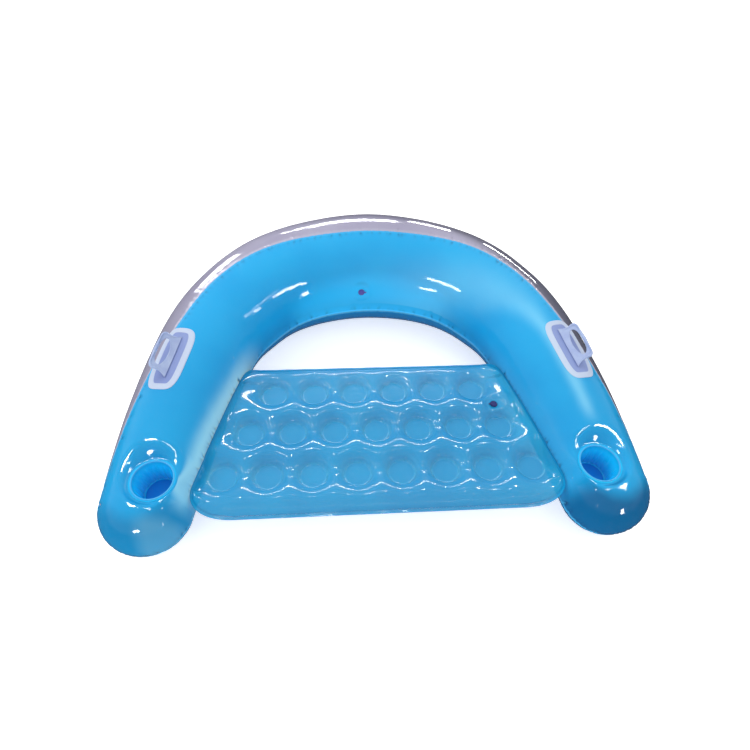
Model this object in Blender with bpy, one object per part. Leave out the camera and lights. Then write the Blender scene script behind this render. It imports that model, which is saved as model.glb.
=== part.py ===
"""Inflatable pool chair, as one object for each sheet, moulding and valve piece.

A horseshoe air tube is the backrest and both arms. A tufted air pad, welded between the arms, is the seat.
Metres, +Z up. +X is to the right of someone who looks at the open front, and the front is at -Y.
"""

import math

import bmesh
import bpy
import numpy as np
from mathutils import Matrix, Vector
from mathutils.geometry import delaunay_2d_cdt

# Whole chair
OVERALL_WIDTH = 1.52
OVERALL_DEPTH = 1.196
BACK_RADIUS = 0.1885
SHOULDER_RADIUS = 0.163
ARM_END_RADIUS = 0.122
FOOT_SINK = 0.004
SHEET = 0.0004
CLEARANCE = 0.0003
OVERRUN = 0.004

# Centreline of the air tube, from the middle of the back round to the end of an arm
CENTRELINE_ACROSS_SHARES = (0.0, 0.453, 0.6905, 0.8307, 0.939, 1.0)
CENTRELINE_BACK_SHARES = (1.0, 0.9282, 0.7888, 0.6189, 0.3004, 0.0)

# Seams of the air tube, as angles round its section: 0 faces out, 90 up and 180 in
OUTER_SEAM_ANGLES = (97.0, 93.0, 70.0, 46.0, 37.0, 28.0)
INNER_SEAM_ANGLE = 192.0
FRONT_SEAM_ANGLE = -22.0
COLLAR_RISE_ANGLE = 14.0
LAP = 0.008
JOG = 0.002

# Seat weld line on the arms
WELD_REAR_ANGLE = 177.0
WELD_FRONT_ANGLE = 160.0
WELD_REAR_SHARE = 0.69
CUP_ROW_SHARE = 0.885

# Mesh counts
BACK_STEPS = 15
SIDE_STEPS = 4
CUP_SIDE_STEPS = 3
TIP_STEPS = 14
CROWN_ROWS = 8
BELLY_ROWS = 5

# Cup holders
CUP_INBOARD = 0.036
CUP_BEHIND_END = 0.0375
CUP_SINK = 0.019
CUP_RIM_RADIUS = 0.0605
CUP_MOUTH_RADIUS = 0.0525
CUP_FLOOR_RADIUS = 0.046
CUP_DEPTH = 0.086
CUP_BEAD = 0.004
CUP_FLOOR_LIP = 0.007
CUP_PLEAT = 0.0018
CUP_PLEATS = 12
CUP_HOLE_PLAY = 0.003
CUP_LANDING = 0.009
CUP_DIMPLE = 0.034
CUP_SEGMENTS = 36
CUP_RING_SHARES = (0, -1, 0.3, 0.62)

# Seat pad
SEAT_SINK = 0.003
SEAT_TILT = math.radians(2.5)
SEAT_OVERHANG = 0.035
SEAT_DEPTH = 0.499
MIDDLE_ROW_BEHIND = 0.2563
ROW_PITCH = 0.1425
DISC_PITCH = 0.1266
DISC_RADIUS = 0.040
DISC_ROWS = 3
DISC_MARGIN = 0.055
DISC_POINTS = 8
RING_POINTS = 8
RING_GAP = 0.0125
PUFF = 0.045
PUFF_REACH = 0.0325
PUFF_BLEND = 0.006
SEAT_FLANGE = 0.010
FLANGE_FLARE = 0.001
CORNER_DRAW = 0.008
REAR_CORNER = 0.052
FRONT_CORNER = 0.115
SEAT_EDGE_POINTS = 9
CORNER_POINTS = 3
EDGE_INSETS = (0.012, 0.034)
LEAST_SPACING = 0.012
NEIGHBOUR_SHARE = 1.3
ARM_PULL = 3

# Grab handles
HANDLE_SHARE = 0.718
HANDLE_ANGLE = 84.0
PATCH_LENGTH = 0.215
PATCH_WIDTH = 0.099
PATCH_OUTWARD = 0.008
PATCH_THICKNESS = 0.0012
PATCH_LIFT = 0.0007
PATCH_SQUARENESS = 3.6
PATCH_RINGS = 4
PATCH_SPOKES = 28
ROOT_LENGTH = 0.138
GRIP_LENGTH = 0.104
GRIP_HEIGHT = 0.058
GRIP_BEAD_RADIUS = 0.0045
ROOT_BEAD_RADIUS = 0.0022
WEB_THICKNESS = 0.0026
HOLE_LENGTH = 0.088
HOLE_WIDTH = 0.031
HOLE_RISE = 0.0315
HOLE_BOW_SHARE = 0.35
HANDLE_LEAN = math.radians(48)
GRIP_CHAMFER = 0.012
GRIP_WAIST = 0.006
WAIST_SHARE = 0.55
HOLE_SQUARENESS = 2.6
GRIP_SPOKES = 36
ROOT_SAMPLES = 9

# Valves
FLANGE_RADIUS = 0.0155
FLANGE_THICKNESS = 0.001
SKIN_ALLOWANCE = 0.0008
SLEEVE_WALL = 0.0014
SLEEVE_DEPTH = 0.009
STEM_RADIUS = 0.0068
STEM_WALL = 0.0012
STEM_DEPTH = 0.018
LIP_RADIUS = 0.0112
LIP_THICKNESS = 0.0015
PLUG_RADIUS = 0.0094
PLUG_THICKNESS = 0.0016
PEG_LENGTH = 0.007
STRAP_REACH = 0.0165
STRAP_WIDTH = 0.0045
STRAP_THICKNESS = 0.0009
FLAP_THICKNESS = 0.0006
FLAP_INSET = 0.0008
VALVE_SEGMENTS = 20
VALVE_SPOT_RADIUS = 0.020
TUBE_VALVE_ROW = 8
SEAT_VALVE_FROM_ARM = 0.0774
SEAT_VALVE_BEHIND_ROW = 0.0691

CAP_SEGMENTS = 3

BLUE = (0.051, 0.413, 0.807, 1.0)
PALE_BLUE = (0.176, 0.527, 0.831, 1.0)
DEEP_BLUE = (0.005, 0.195, 0.558, 1.0)
CLEAR = (0.72, 0.74, 0.86, 1.0)
MILKY = (0.66, 0.71, 0.86, 1.0)
NAVY = (0.012, 0.026, 0.12, 1.0)

for leftover in list(bpy.data.objects):
    bpy.data.objects.remove(leftover, do_unlink=True)


def material(name, colour, roughness):
    """A Principled material."""
    made = bpy.data.materials.new(name)
    made.use_nodes = True
    shader = made.node_tree.nodes["Principled BSDF"]
    shader.inputs["Base Color"].default_value = colour
    shader.inputs["Roughness"].default_value = roughness
    shader.inputs["Metallic"].default_value = 0.0
    return made


def add_object(name, corners, faces, colour, roughness=0.15):
    """A mesh object with its own material, shaded smooth."""
    mesh = bpy.data.meshes.new(name)
    mesh.from_pydata([tuple(corner) for corner in corners], [], faces)
    mesh.validate()
    built = bpy.data.objects.new(name, mesh)
    bpy.context.collection.objects.link(built)
    mesh.materials.append(material(name, colour, roughness))
    mesh.shade_smooth()
    mesh.set_sharp_from_angle(angle=math.radians(40))
    return built


def face_normals(built, towards):
    """Turn every face the same way, with the mean normal along the given direction."""
    shape = bmesh.new()
    shape.from_mesh(built.data)
    bmesh.ops.recalc_face_normals(shape, faces=shape.faces)
    total = sum((face.normal * face.calc_area() for face in shape.faces), Vector())
    if total.dot(towards) < 0:
        bmesh.ops.reverse_faces(shape, faces=shape.faces)
    shape.to_mesh(built.data)
    shape.free()


def thicken(built, thickness):
    """Give an open sheet its thickness on the side that its normals leave."""
    solid = built.modifiers.new("Thickness", "SOLIDIFY")
    solid.thickness = thickness
    solid.offset = -1
    solid.use_even_offset = True
    solid.use_rim = True


def smooth_curve(values, flat_start):
    """The cubic through evenly spaced values, as a function of a share from 0 to 1."""
    count = len(values)
    rows = np.zeros((count, count))
    right = np.zeros(count)
    for i in range(1, count - 1):
        rows[i, i - 1 : i + 2] = 1, 4, 1
        right[i] = 6 * (values[i - 1] - 2 * values[i] + values[i + 1])
    rows[0, 0] = 1
    rows[-1, -1] = 1
    if flat_start:
        rows[0, :2] = 2, 1
        right[0] = 6 * (values[1] - values[0])
    bend = np.linalg.solve(rows, right)

    def at(share):
        spot = share * (count - 1)
        i = min(int(spot), count - 2)
        b = spot - i
        a = 1 - b
        curved = (a**3 - a) * bend[i] + (b**3 - b) * bend[i + 1]
        return a * values[i] + b * values[i + 1] + curved / 6

    return at


def lerp(first, second, share):
    return first + (second - first) * share


def ease(share):
    """Smooth step from 0 to 1."""
    share = min(max(share, 0.0), 1.0)
    return share * share * (3 - 2 * share)


ARM_ACROSS = OVERALL_WIDTH / 2 - ARM_END_RADIUS
BACK_CENTRE = OVERALL_DEPTH / 2 - BACK_RADIUS
ARM_END = ARM_END_RADIUS - OVERALL_DEPTH / 2
CUP_ACROSS = ARM_ACROSS - CUP_INBOARD
CUP_BACK = ARM_END + CUP_BEHIND_END
CUP_RIM_HEIGHT = 2 * ARM_END_RADIUS - FOOT_SINK - CUP_SINK
SEAT_HEIGHT = ARM_END_RADIUS - SEAT_SINK
SEAT_FRONT = ARM_END - SEAT_OVERHANG
SEAT_REAR = SEAT_FRONT + SEAT_DEPTH
ROW_MIDDLE = SEAT_FRONT + MIDDLE_ROW_BEHIND
across_share = smooth_curve(CENTRELINE_ACROSS_SHARES, False)
back_share = smooth_curve(CENTRELINE_BACK_SHARES, True)
outer_seam_angle = smooth_curve(OUTER_SEAM_ANGLES, True)


def tube_radius(place):
    """Radius of the air tube: place 0 is the middle of the back and 1 the end of an arm."""
    back, middle, end = BACK_RADIUS, SHOULDER_RADIUS, ARM_END_RADIUS
    return (
        back * (1 - place) * (1 - 2 * place)
        + middle * 4 * place * (1 - place)
        + end * place * (2 * place - 1)
    )


def centre(place):
    """Centreline of the right half in plan."""
    across = ARM_ACROSS * across_share(place)
    back = lerp(ARM_END, BACK_CENTRE, back_share(place))
    return Vector((across, back, 0))


def outward(place):
    """Direction in plan that leaves the seat, square to the centreline."""
    step = 0.0005
    along = centre(min(place + step, 1)) - centre(max(place - step, 0))
    return Vector((-along.y, along.x, 0)).normalized()


def sided(point, side):
    return Vector((point.x * side, point.y, point.z))


def on_section(middle, direction, radius, angle, lift):
    """Point of a round section that stands on the floor, at an angle in degrees."""
    reach = radius + lift
    angle = math.radians(angle)
    height = radius - FOOT_SINK + reach * math.sin(angle)
    point = middle + direction * (reach * math.cos(angle))
    return Vector((point.x, point.y, max(height, 0)))


def tube_point(place, side, angle, lift=0.0):
    """Point on the air tube, or lifted off it."""
    spot = on_section(centre(place), outward(place), tube_radius(place), angle, lift)
    return sided(spot, side)


def tip_point(turn, side, angle):
    """Point on the round end of an arm: turn 0 faces out, 90 ahead and 180 in."""
    out = outward(1)
    ahead = Vector((out.y, -out.x, 0))
    turn = math.radians(turn)
    direction = out * math.cos(turn) + ahead * math.sin(turn)
    return sided(on_section(centre(1), direction, ARM_END_RADIUS, angle, 0), side)


CENTRE_SAMPLES = [(i / 400, centre(i / 400)) for i in range(401)]


def onto_tube(point, side):
    """Move a point out to the tube's surface, straight from the nearest place on its centreline."""
    level = Vector((point.x * side, point.y, 0))
    place, middle = min(CENTRE_SAMPLES, key=lambda sample: (sample[1] - level).length)
    radius = tube_radius(place)
    middle = Vector((middle.x * side, middle.y, radius - FOOT_SINK))
    return middle + (point - middle).normalized() * radius


def weld_angle(place):
    """Angle of the line along which the seat is welded to the arm."""
    share = (place - WELD_REAR_SHARE) / (1 - WELD_REAR_SHARE)
    return lerp(WELD_REAR_ANGLE, WELD_FRONT_ANGLE, min(max(share, 0), 1))


def tip_blend(turn, outer, front, inner):
    """Angle that runs from the outer side over the front of an arm's end to its inner side."""
    if turn <= 90:
        return lerp(outer, front, ease(turn / 90))
    return lerp(front, inner, ease(turn / 90 - 1))


def lap_turn(place):
    return math.degrees(LAP / tube_radius(place))


def outer_band(place):
    """Angles of the seam, the lap and the collar on the outer side."""
    seam = outer_seam_angle(place)
    return seam, seam + lap_turn(place), seam + COLLAR_RISE_ANGLE


def inner_band(place):
    """Angles of the seam, the lap and the collar on the inner side."""
    return INNER_SEAM_ANGLE, INNER_SEAM_ANGLE - lap_turn(place), weld_angle(place)


def tip_band(turn):
    """Angles of the seam, the lap and the collar round the end of an arm."""
    seam = tip_blend(turn, outer_seam_angle(1), FRONT_SEAM_ANGLE, 180 - INNER_SEAM_ANGLE)
    front = FRONT_SEAM_ANGLE + COLLAR_RISE_ANGLE
    outer_collar = outer_seam_angle(1) + COLLAR_RISE_ANGLE
    collar = tip_blend(turn, outer_collar, front, 180 - WELD_FRONT_ANGLE)
    return seam, seam + lap_turn(1), collar


def steps(first, last, count):
    """Evenly spaced values after the first one."""
    return [lerp(first, last, (i + 1) / count) for i in range(count)]


BACK_PLACES = [0.0] + steps(0, WELD_REAR_SHARE, BACK_STEPS)
ARM_PLACES = steps(WELD_REAR_SHARE, CUP_ROW_SHARE, SIDE_STEPS)
CUP_PLACES = steps(CUP_ROW_SHARE, 1, CUP_SIDE_STEPS)
STRIP_PLACES = BACK_PLACES + ARM_PLACES
TURNS = [180 * i / TIP_STEPS for i in range(TIP_STEPS + 1)]
WELD_PLACES = [WELD_REAR_SHARE] + ARM_PLACES + CUP_PLACES[:-1]


def cup_centre(side, height=0.0):
    return Vector((CUP_ACROSS * side, CUP_BACK, height))


def dimpled(point, side):
    """Pull the skin round a cup holder to the level of its rim."""
    axis = cup_centre(side, point.z)
    start = CUP_MOUTH_RADIUS + CUP_HOLE_PLAY + CUP_LANDING
    share = ease(((point - axis).length - start) / CUP_DIMPLE)
    return Vector((point.x, point.y, lerp(CUP_RIM_HEIGHT, point.z, share)))


class Grid:
    """Corners and faces of a sheet. Corners at the same spot are made one."""

    def __init__(self):
        self.corners = []
        self.index = {}
        self.faces = []

    def corner(self, point):
        key = tuple(round(value * 1e6) for value in point)
        if key not in self.index:
            self.index[key] = len(self.corners)
            self.corners.append(point)
        return self.index[key]

    def patch(self, rows, turned=False):
        """Pairs of triangles between rows of points, split along one diagonal or, if turned, the other."""
        for low, high in zip(rows, rows[1:]):
            for i in range(len(low) - 1):
                around = [low[i], low[i + 1], high[i + 1], high[i]]
                spots = [self.corner(point) for point in around]
                if turned:
                    spots = spots[1:] + spots[:1]
                for face in ((spots[0], spots[1], spots[2]), (spots[0], spots[2], spots[3])):
                    if len(set(face)) == 3:
                        self.faces.append(face)


def band_columns(side):
    """Seam, lap and collar points from the cup row's outer side, round the arm's end, to its inner side."""
    columns = []
    for place in [CUP_ROW_SHARE] + CUP_PLACES[:-1]:
        columns.append([tube_point(place, side, a) for a in outer_band(place)])
    for turn in TURNS:
        columns.append([tip_point(turn, side, a) for a in tip_band(turn)])
    for place in [*reversed(CUP_PLACES[:-1]), CUP_ROW_SHARE]:
        columns.append([tube_point(place, side, a) for a in inner_band(place)])
    return columns


def crown_angles(place):
    """Angles across the top of the tube, from the outer seam to the inner one."""
    outer = outer_band(place)
    inner = inner_band(place)
    crown = [lerp(outer[2], inner[2], i / CROWN_ROWS) for i in range(1, CROWN_ROWS)]
    return [*outer, *crown, *reversed(inner)]


def cup_ring(side, spokes, share):
    """One ring of points between the hole for a cup holder (share 0) and the collar (share 1)."""
    ring = []
    for foot in spokes:
        away = Vector((foot.x, foot.y, 0)) - cup_centre(side)
        edge = cup_centre(side) + away.normalized() * (CUP_MOUTH_RADIUS + CUP_HOLE_PLAY)
        edge.z = CUP_RIM_HEIGHT
        landing = edge + away.normalized() * CUP_LANDING
        if share == 0:
            ring.append(edge)
        elif share < 0:
            ring.append(landing)
        else:
            ring.append(dimpled(onto_tube(lerp(landing, foot, share), side), side))
    return ring


def strip_rows(angles_at):
    """Rows of points along the tube, from the left arm's cup row, over the back, to the right arm's."""
    rows = []
    for side, places in ((-1, STRIP_PLACES[:0:-1]), (1, STRIP_PLACES)):
        for place in places:
            rows.append([tube_point(place, side, angle) for angle in angles_at(place)])
    return rows


def top_sheet_grid():
    """The blue upper skin of the air tube, with a hole for each cup holder."""
    grid = Grid()
    grid.patch(strip_rows(crown_angles))
    for side in (-1, 1):
        band = band_columns(side)
        grid.patch(band)
        row = [tube_point(CUP_ROW_SHARE, side, a) for a in crown_angles(CUP_ROW_SHARE)[2:-2]]
        spokes = [column[2] for column in band] + row[-2:0:-1]
        spokes.append(spokes[0])
        rings = [cup_ring(side, spokes, share) for share in CUP_RING_SHARES]
        grid.patch([*rings, spokes])
    return grid


def belly_angles(place):
    """Angles under the tube, from below the outer seam, over the flat foot, to below the inner seam."""
    radius = tube_radius(place)
    foot = math.degrees(math.asin(1 - FOOT_SINK / radius))
    jog = math.degrees(JOG / radius)
    first = outer_seam_angle(place) - jog
    last = INNER_SEAM_ANGLE - 360 + jog
    outer = [lerp(first, -foot, i / BELLY_ROWS) for i in range(BELLY_ROWS + 1)]
    inner = [lerp(foot - 180, last, i / BELLY_ROWS) for i in range(BELLY_ROWS + 1)]
    return [*outer, -90.0, *inner]


def tip_belly_angles(turn):
    """Angles under an arm's end, from below the seam to the middle of the foot."""
    foot = math.degrees(math.asin(1 - FOOT_SINK / ARM_END_RADIUS))
    first = tip_band(turn)[0] - math.degrees(JOG / ARM_END_RADIUS)
    return [lerp(first, -foot, i / BELLY_ROWS) for i in range(BELLY_ROWS + 1)] + [-90.0]


def skin_normals(built):
    """Normal at each corner of a sheet, by the corner's place."""
    shape = bmesh.new()
    shape.from_mesh(built.data)
    shape.normal_update()
    found = {tuple(round(c * 1e5) for c in v.co): v.normal.copy() for v in shape.verts}
    shape.free()
    return found


def bottom_sheet_grid(top):
    """The clear lower skin. Its edges run on under the upper skin as the lap of the seam."""
    normals = skin_normals(top)

    def tucked(point):
        normal = normals[tuple(round(c * 1e5) for c in point)]
        return point - normal * (SHEET + CLEARANCE)

    def lapped(seam_and_lap, belly):
        seam, lap = seam_and_lap
        return [tucked(lap), tucked(seam), *belly]

    grid = Grid()
    rows = []
    for side, places in ((-1, STRIP_PLACES[:0:-1]), (1, STRIP_PLACES)):
        for place in places:
            rows.append(belly_row(place, side, lapped))
    grid.patch(rows, turned=True)
    for side in (-1, 1):
        rows = [belly_row(p, side, lapped) for p in [CUP_ROW_SHARE, *CUP_PLACES]]
        grid.patch(rows, turned=True)
        fan = []
        for turn in TURNS:
            belly = [tip_point(turn, side, a) for a in tip_belly_angles(turn)]
            edge = [tip_point(turn, side, a) for a in tip_band(turn)[:2]]
            fan.append(lapped(edge, belly))
        grid.patch(fan, turned=True)
    return grid


def belly_row(place, side, lapped):
    """One row of the lower skin, from lap to lap. At the arm's end it takes the round end's angles."""
    if place == 1:
        halves = []
        for turn in (0, 180):
            belly = [tip_point(turn, side, a) for a in tip_belly_angles(turn)]
            halves.append(lapped([tip_point(turn, side, a) for a in tip_band(turn)[:2]], belly))
        return halves[0] + halves[1][-2::-1]
    outer = [tube_point(place, side, a) for a in outer_band(place)[:2]]
    inner = [tube_point(place, side, a) for a in inner_band(place)[:2]]
    belly = [tube_point(place, side, a) for a in belly_angles(place)]
    return lapped(outer, belly) + lapped(inner, [])[::-1]


def revolved(profile, segments, wave=None):
    """Corners and faces of a closed or open profile turned about Z. Profile points are radius and height."""
    grid = Grid()
    columns = []
    for i in range(segments + 1):
        turn = 2 * math.pi * (i % segments) / segments
        column = []
        for k, (radius, height) in enumerate(profile):
            if wave:
                radius += wave(k, turn)
            column.append(Vector((radius * math.cos(turn), radius * math.sin(turn), height)))
        columns.append(column)
    grid.patch(columns)
    return grid


def make_turned(name, profile, colour, roughness=0.3, segments=VALVE_SEGMENTS):
    """A solid turned from a closed profile."""
    grid = revolved([*profile, profile[0]], segments)
    built = add_object(name, grid.corners, grid.faces, colour, roughness)
    shape = bmesh.new()
    shape.from_mesh(built.data)
    bmesh.ops.recalc_face_normals(shape, faces=shape.faces)
    shape.to_mesh(built.data)
    shape.free()
    return built


def hide_cutter(built):
    built.display_type = "WIRE"
    built.hide_render = True


def cut(built, cutter):
    hole = built.modifiers.new("Hole", "BOOLEAN")
    hole.operation = "DIFFERENCE"
    hole.object = cutter


def build_tube():
    """Both skins of the air tube."""
    grid = top_sheet_grid()
    top = add_object("tube_top_sheet", grid.corners, grid.faces, BLUE)
    face_normals(top, Vector((0, 0, 1)))
    grid = bottom_sheet_grid(top)
    bottom = add_object("tube_bottom_sheet", grid.corners, grid.faces, CLEAR)
    face_normals(bottom, Vector((0, 0, -1)))
    thicken(top, SHEET)
    thicken(bottom, SHEET)
    return top, bottom


def build_cup(side_name, side):
    """Pleated wall and round floor of one cup holder."""
    top = CLEARANCE + SHEET
    pleat_start = CUP_BEAD + LAP
    straight = [(CUP_RIM_RADIUS, top), (CUP_MOUTH_RADIUS + CUP_BEAD, top)]
    for i in range(1, CAP_SEGMENTS):
        turn = math.pi * i / CAP_SEGMENTS
        straight.append(
            (
                CUP_MOUTH_RADIUS + CUP_BEAD / 2 * (1 + math.cos(turn)),
                top + CUP_BEAD * math.sin(turn) / 2,
            )
        )
    rim_points = len(straight)
    wall = [
        (CUP_MOUTH_RADIUS, top),
        (CUP_MOUTH_RADIUS, -pleat_start),
        ((CUP_MOUTH_RADIUS + CUP_FLOOR_RADIUS) / 2, -CUP_DEPTH / 2),
        (CUP_FLOOR_RADIUS, -CUP_DEPTH),
        (CUP_FLOOR_RADIUS - CUP_FLOOR_LIP, -CUP_DEPTH),
    ]

    def pleats(k, turn):
        deep = k - rim_points
        if deep in (2, 3):
            return CUP_PLEAT * (math.cos(CUP_PLEATS * turn) - 1)
        return 0

    grid = revolved(straight + wall, CUP_SEGMENTS, pleats)
    shell = add_object(f"{side_name}_cup_wall", grid.corners, grid.faces, PALE_BLUE)
    face_normals(shell, Vector((0, 0, 1)))
    thicken(shell, SHEET)
    shell.location = cup_centre(side, CUP_RIM_HEIGHT)
    radius = CUP_FLOOR_RADIUS - 2 * CUP_PLEAT - 2 * SHEET - CLEARANCE
    low = CLEARANCE - CUP_DEPTH
    floor = [(0, low), (radius, low), (radius, low + SHEET), (0, low + SHEET)]
    base = make_turned(f"{side_name}_cup_base", floor, DEEP_BLUE, 0.2, CUP_SEGMENTS)
    base.location = shell.location


def seat_plane(back):
    """Level of the welded discs at a place along Y."""
    return SEAT_HEIGHT - math.tan(SEAT_TILT) * (back - ROW_MIDDLE)


def disc_centres(arm):
    """Centres of the welded discs, in staggered rows from the front, each with one disc fewer than the last."""
    found = []
    front = ROW_MIDDLE - (DISC_ROWS - 1) / 2 * ROW_PITCH
    room = np.interp(front, [place.y for place in arm], [place.x for place in arm]) - DISC_MARGIN
    most = int(2 * room / DISC_PITCH) + 1
    for row in range(DISC_ROWS):
        count = most - row
        back = front + row * ROW_PITCH
        for i in range(count):
            found.append(Vector(((i - (count - 1) / 2) * DISC_PITCH, back)))
    return found


def superellipse(turn, length, width, squareness):
    """Point of a rounded oblong round the origin."""
    across = abs(math.cos(turn)) ** (2 / squareness) * length / 2
    up = abs(math.sin(turn)) ** (2 / squareness) * width / 2
    return math.copysign(across, math.cos(turn)), math.copysign(up, math.sin(turn))


class EdgePoint:
    """A corner of the seat's outline: its place, the way up off the weld, the way its flange points and its tie to the arm."""

    def __init__(self, place, above, flange, tie):
        self.place = place
        self.above = above.normalized()
        self.flange = (flange - self.above * flange.dot(self.above)).normalized()
        self.tie = tie

    def flange_end(self):
        return self.place + self.flange * SEAT_FLANGE + self.above * FLANGE_FLARE * self.tie


WELD_MIDDLE = CLEARANCE + SHEET + CLEARANCE / 2
SHEET_OFF_MIDDLE = CLEARANCE / 2 + SHEET


def weld_points():
    """Outline of the seat along the right arm, from the rear."""
    points = []
    for place in WELD_PLACES:
        angle = weld_angle(place)
        skin = tube_point(place, 1, angle)
        spot = tube_point(place, 1, angle, WELD_MIDDLE)
        along_crown = (tube_point(place, 1, crown_angles(place)[-4]) - skin).normalized()
        along_cup = (cup_ring(1, [skin], CUP_RING_SHARES[-1])[0] - skin).normalized()
        if place > CUP_ROW_SHARE:
            along_crown = along_cup
        if place < CUP_ROW_SHARE:
            along_cup = along_crown
        points.append(EdgePoint(spot, spot - skin, along_crown + along_cup, 1.0))
    return points


def seat_corner(before, first, last, count):
    """Corner of the outline between the last of two edge points on the arm and one on a free edge."""
    along = first.place - before.place
    across = first.place.x + along.x / along.y * (last.place.y - first.place.y)
    control = Vector((across - CORNER_DRAW, last.place.y, last.place.z))
    points = []
    for i in range(1, count):
        share = i / count
        low = lerp(first.place, control, share)
        spot = lerp(low, lerp(control, last.place, share), share)
        spot.z = lerp(first.place.z, last.place.z, ease(share))
        above = lerp(first.above, last.above, share)
        points.append(EdgePoint(spot, above, lerp(first.flange, last.flange, share), 1 - share))
    return points


def free_edge(back, width, count):
    """Free front or rear edge of the seat, from the middle to the right."""
    out = Vector((0, math.copysign(1, back - ROW_MIDDLE), 0))
    points = []
    for i in range(count):
        spot = Vector((width * i / (count - 1), back, seat_plane(back)))
        points.append(EdgePoint(spot, Vector((0, 0, 1)), out, 0.0))
    return points


def mirrored(point):
    flip = Vector((-1, 1, 1))
    return EdgePoint(point.place * flip, point.above * flip, point.flange * flip, point.tie)


def seat_outline():
    """The seat's whole outline, from the middle of the rear edge, clockwise from above."""
    arm = weld_points()
    rear = free_edge(SEAT_REAR, arm[0].place.x - REAR_CORNER, SEAT_EDGE_POINTS)
    front = free_edge(SEAT_FRONT, arm[-1].place.x - FRONT_CORNER, SEAT_EDGE_POINTS)
    half = rear + seat_corner(arm[1], arm[0], rear[-1], CORNER_POINTS)[::-1] + arm
    half += seat_corner(arm[-2], arm[-1], front[-1], CORNER_POINTS + 1) + front[::-1]
    return half + [mirrored(point) for point in half[-2:0:-1]]


def distance_to_line(spot, line):
    """Least distance in plan from a spot to a run of points."""
    found = []
    for first, last in zip(line, line[1:]):
        along = last - first
        share = min(max((spot - first).dot(along) / along.length_squared, 0), 1)
        found.append((spot - first - along * share).length)
    return min(found)


def inside(spot, outline):
    """Whether a spot lies inside a closed outline in plan."""
    crossings = 0
    for first, last in zip(outline, outline[1:] + outline[:1]):
        if (first.y > spot.y) != (last.y > spot.y):
            across = lerp(first.x, last.x, (spot.y - first.y) / (last.y - first.y))
            crossings += across > spot.x
    return crossings % 2 == 1


def ring_round(middle, radius, count, shift=0.0):
    """Evenly spaced spots on a circle in plan."""
    turns = [2 * math.pi * (i + shift) / count for i in range(count)]
    return [middle + Vector((radius * math.cos(t), radius * math.sin(t))) for t in turns]


def blister_height(spot, discs, free_lines):
    """Height that the air pushes the sheet off the plane of the welded discs, and the distance to a disc."""
    gaps = [max((spot - disc).length - DISC_RADIUS, 0) for disc in discs]
    walls = gaps + [distance_to_line(spot, line) for line in free_lines]
    near = min(walls)
    total = sum(math.exp((near - wall) / PUFF_BLEND) for wall in walls)
    reach = max(near - PUFF_BLEND * math.log(total), 0)
    return PUFF * (1 - math.exp(-reach / PUFF_REACH)), min(gaps)


def seat_spots(outline, discs, valve):
    """Spots in plan for the seat's mesh: disc rims, the rings round them, the crests and the margin."""
    spots = []
    spots += ring_round(valve, VALVE_SPOT_RADIUS, DISC_POINTS)
    for disc in discs:
        spots += ring_round(disc, DISC_RADIUS, DISC_POINTS, 0.5)
    plan = [point.place.xy for point in outline]
    extra = []
    for i, first in enumerate(discs):
        for second in discs[i + 1 :]:
            if (second - first).length < NEIGHBOUR_SHARE * DISC_PITCH:
                extra.append((first + second) / 2)
                for third in discs:
                    reach = max((third - first).length, (third - second).length)
                    if third not in (first, second) and reach < NEIGHBOUR_SHARE * DISC_PITCH:
                        extra.append((first + second + third) / 3)
    for disc in discs:
        extra += ring_round(disc, DISC_RADIUS + RING_GAP, RING_POINTS)
    for point in outline:
        out = Vector((point.flange.x, point.flange.y))
        if point.tie == 1:
            out = Vector((math.copysign(1, point.place.x), 0))
        for inset in EDGE_INSETS:
            extra.append(point.place.xy - out.normalized() * inset)
    for spot in extra:
        clear = all((spot - other).length > LEAST_SPACING for other in spots)
        clear = clear and (spot - valve).length > VALVE_SPOT_RADIUS + LEAST_SPACING
        off_disc = all((spot - disc).length > DISC_RADIUS + LEAST_SPACING / 2 for disc in discs)
        margin = distance_to_line(spot, plan + plan[:1]) > LEAST_SPACING
        if clear and off_disc and margin and inside(spot, plan):
            spots.append(spot)
    return spots


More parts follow.
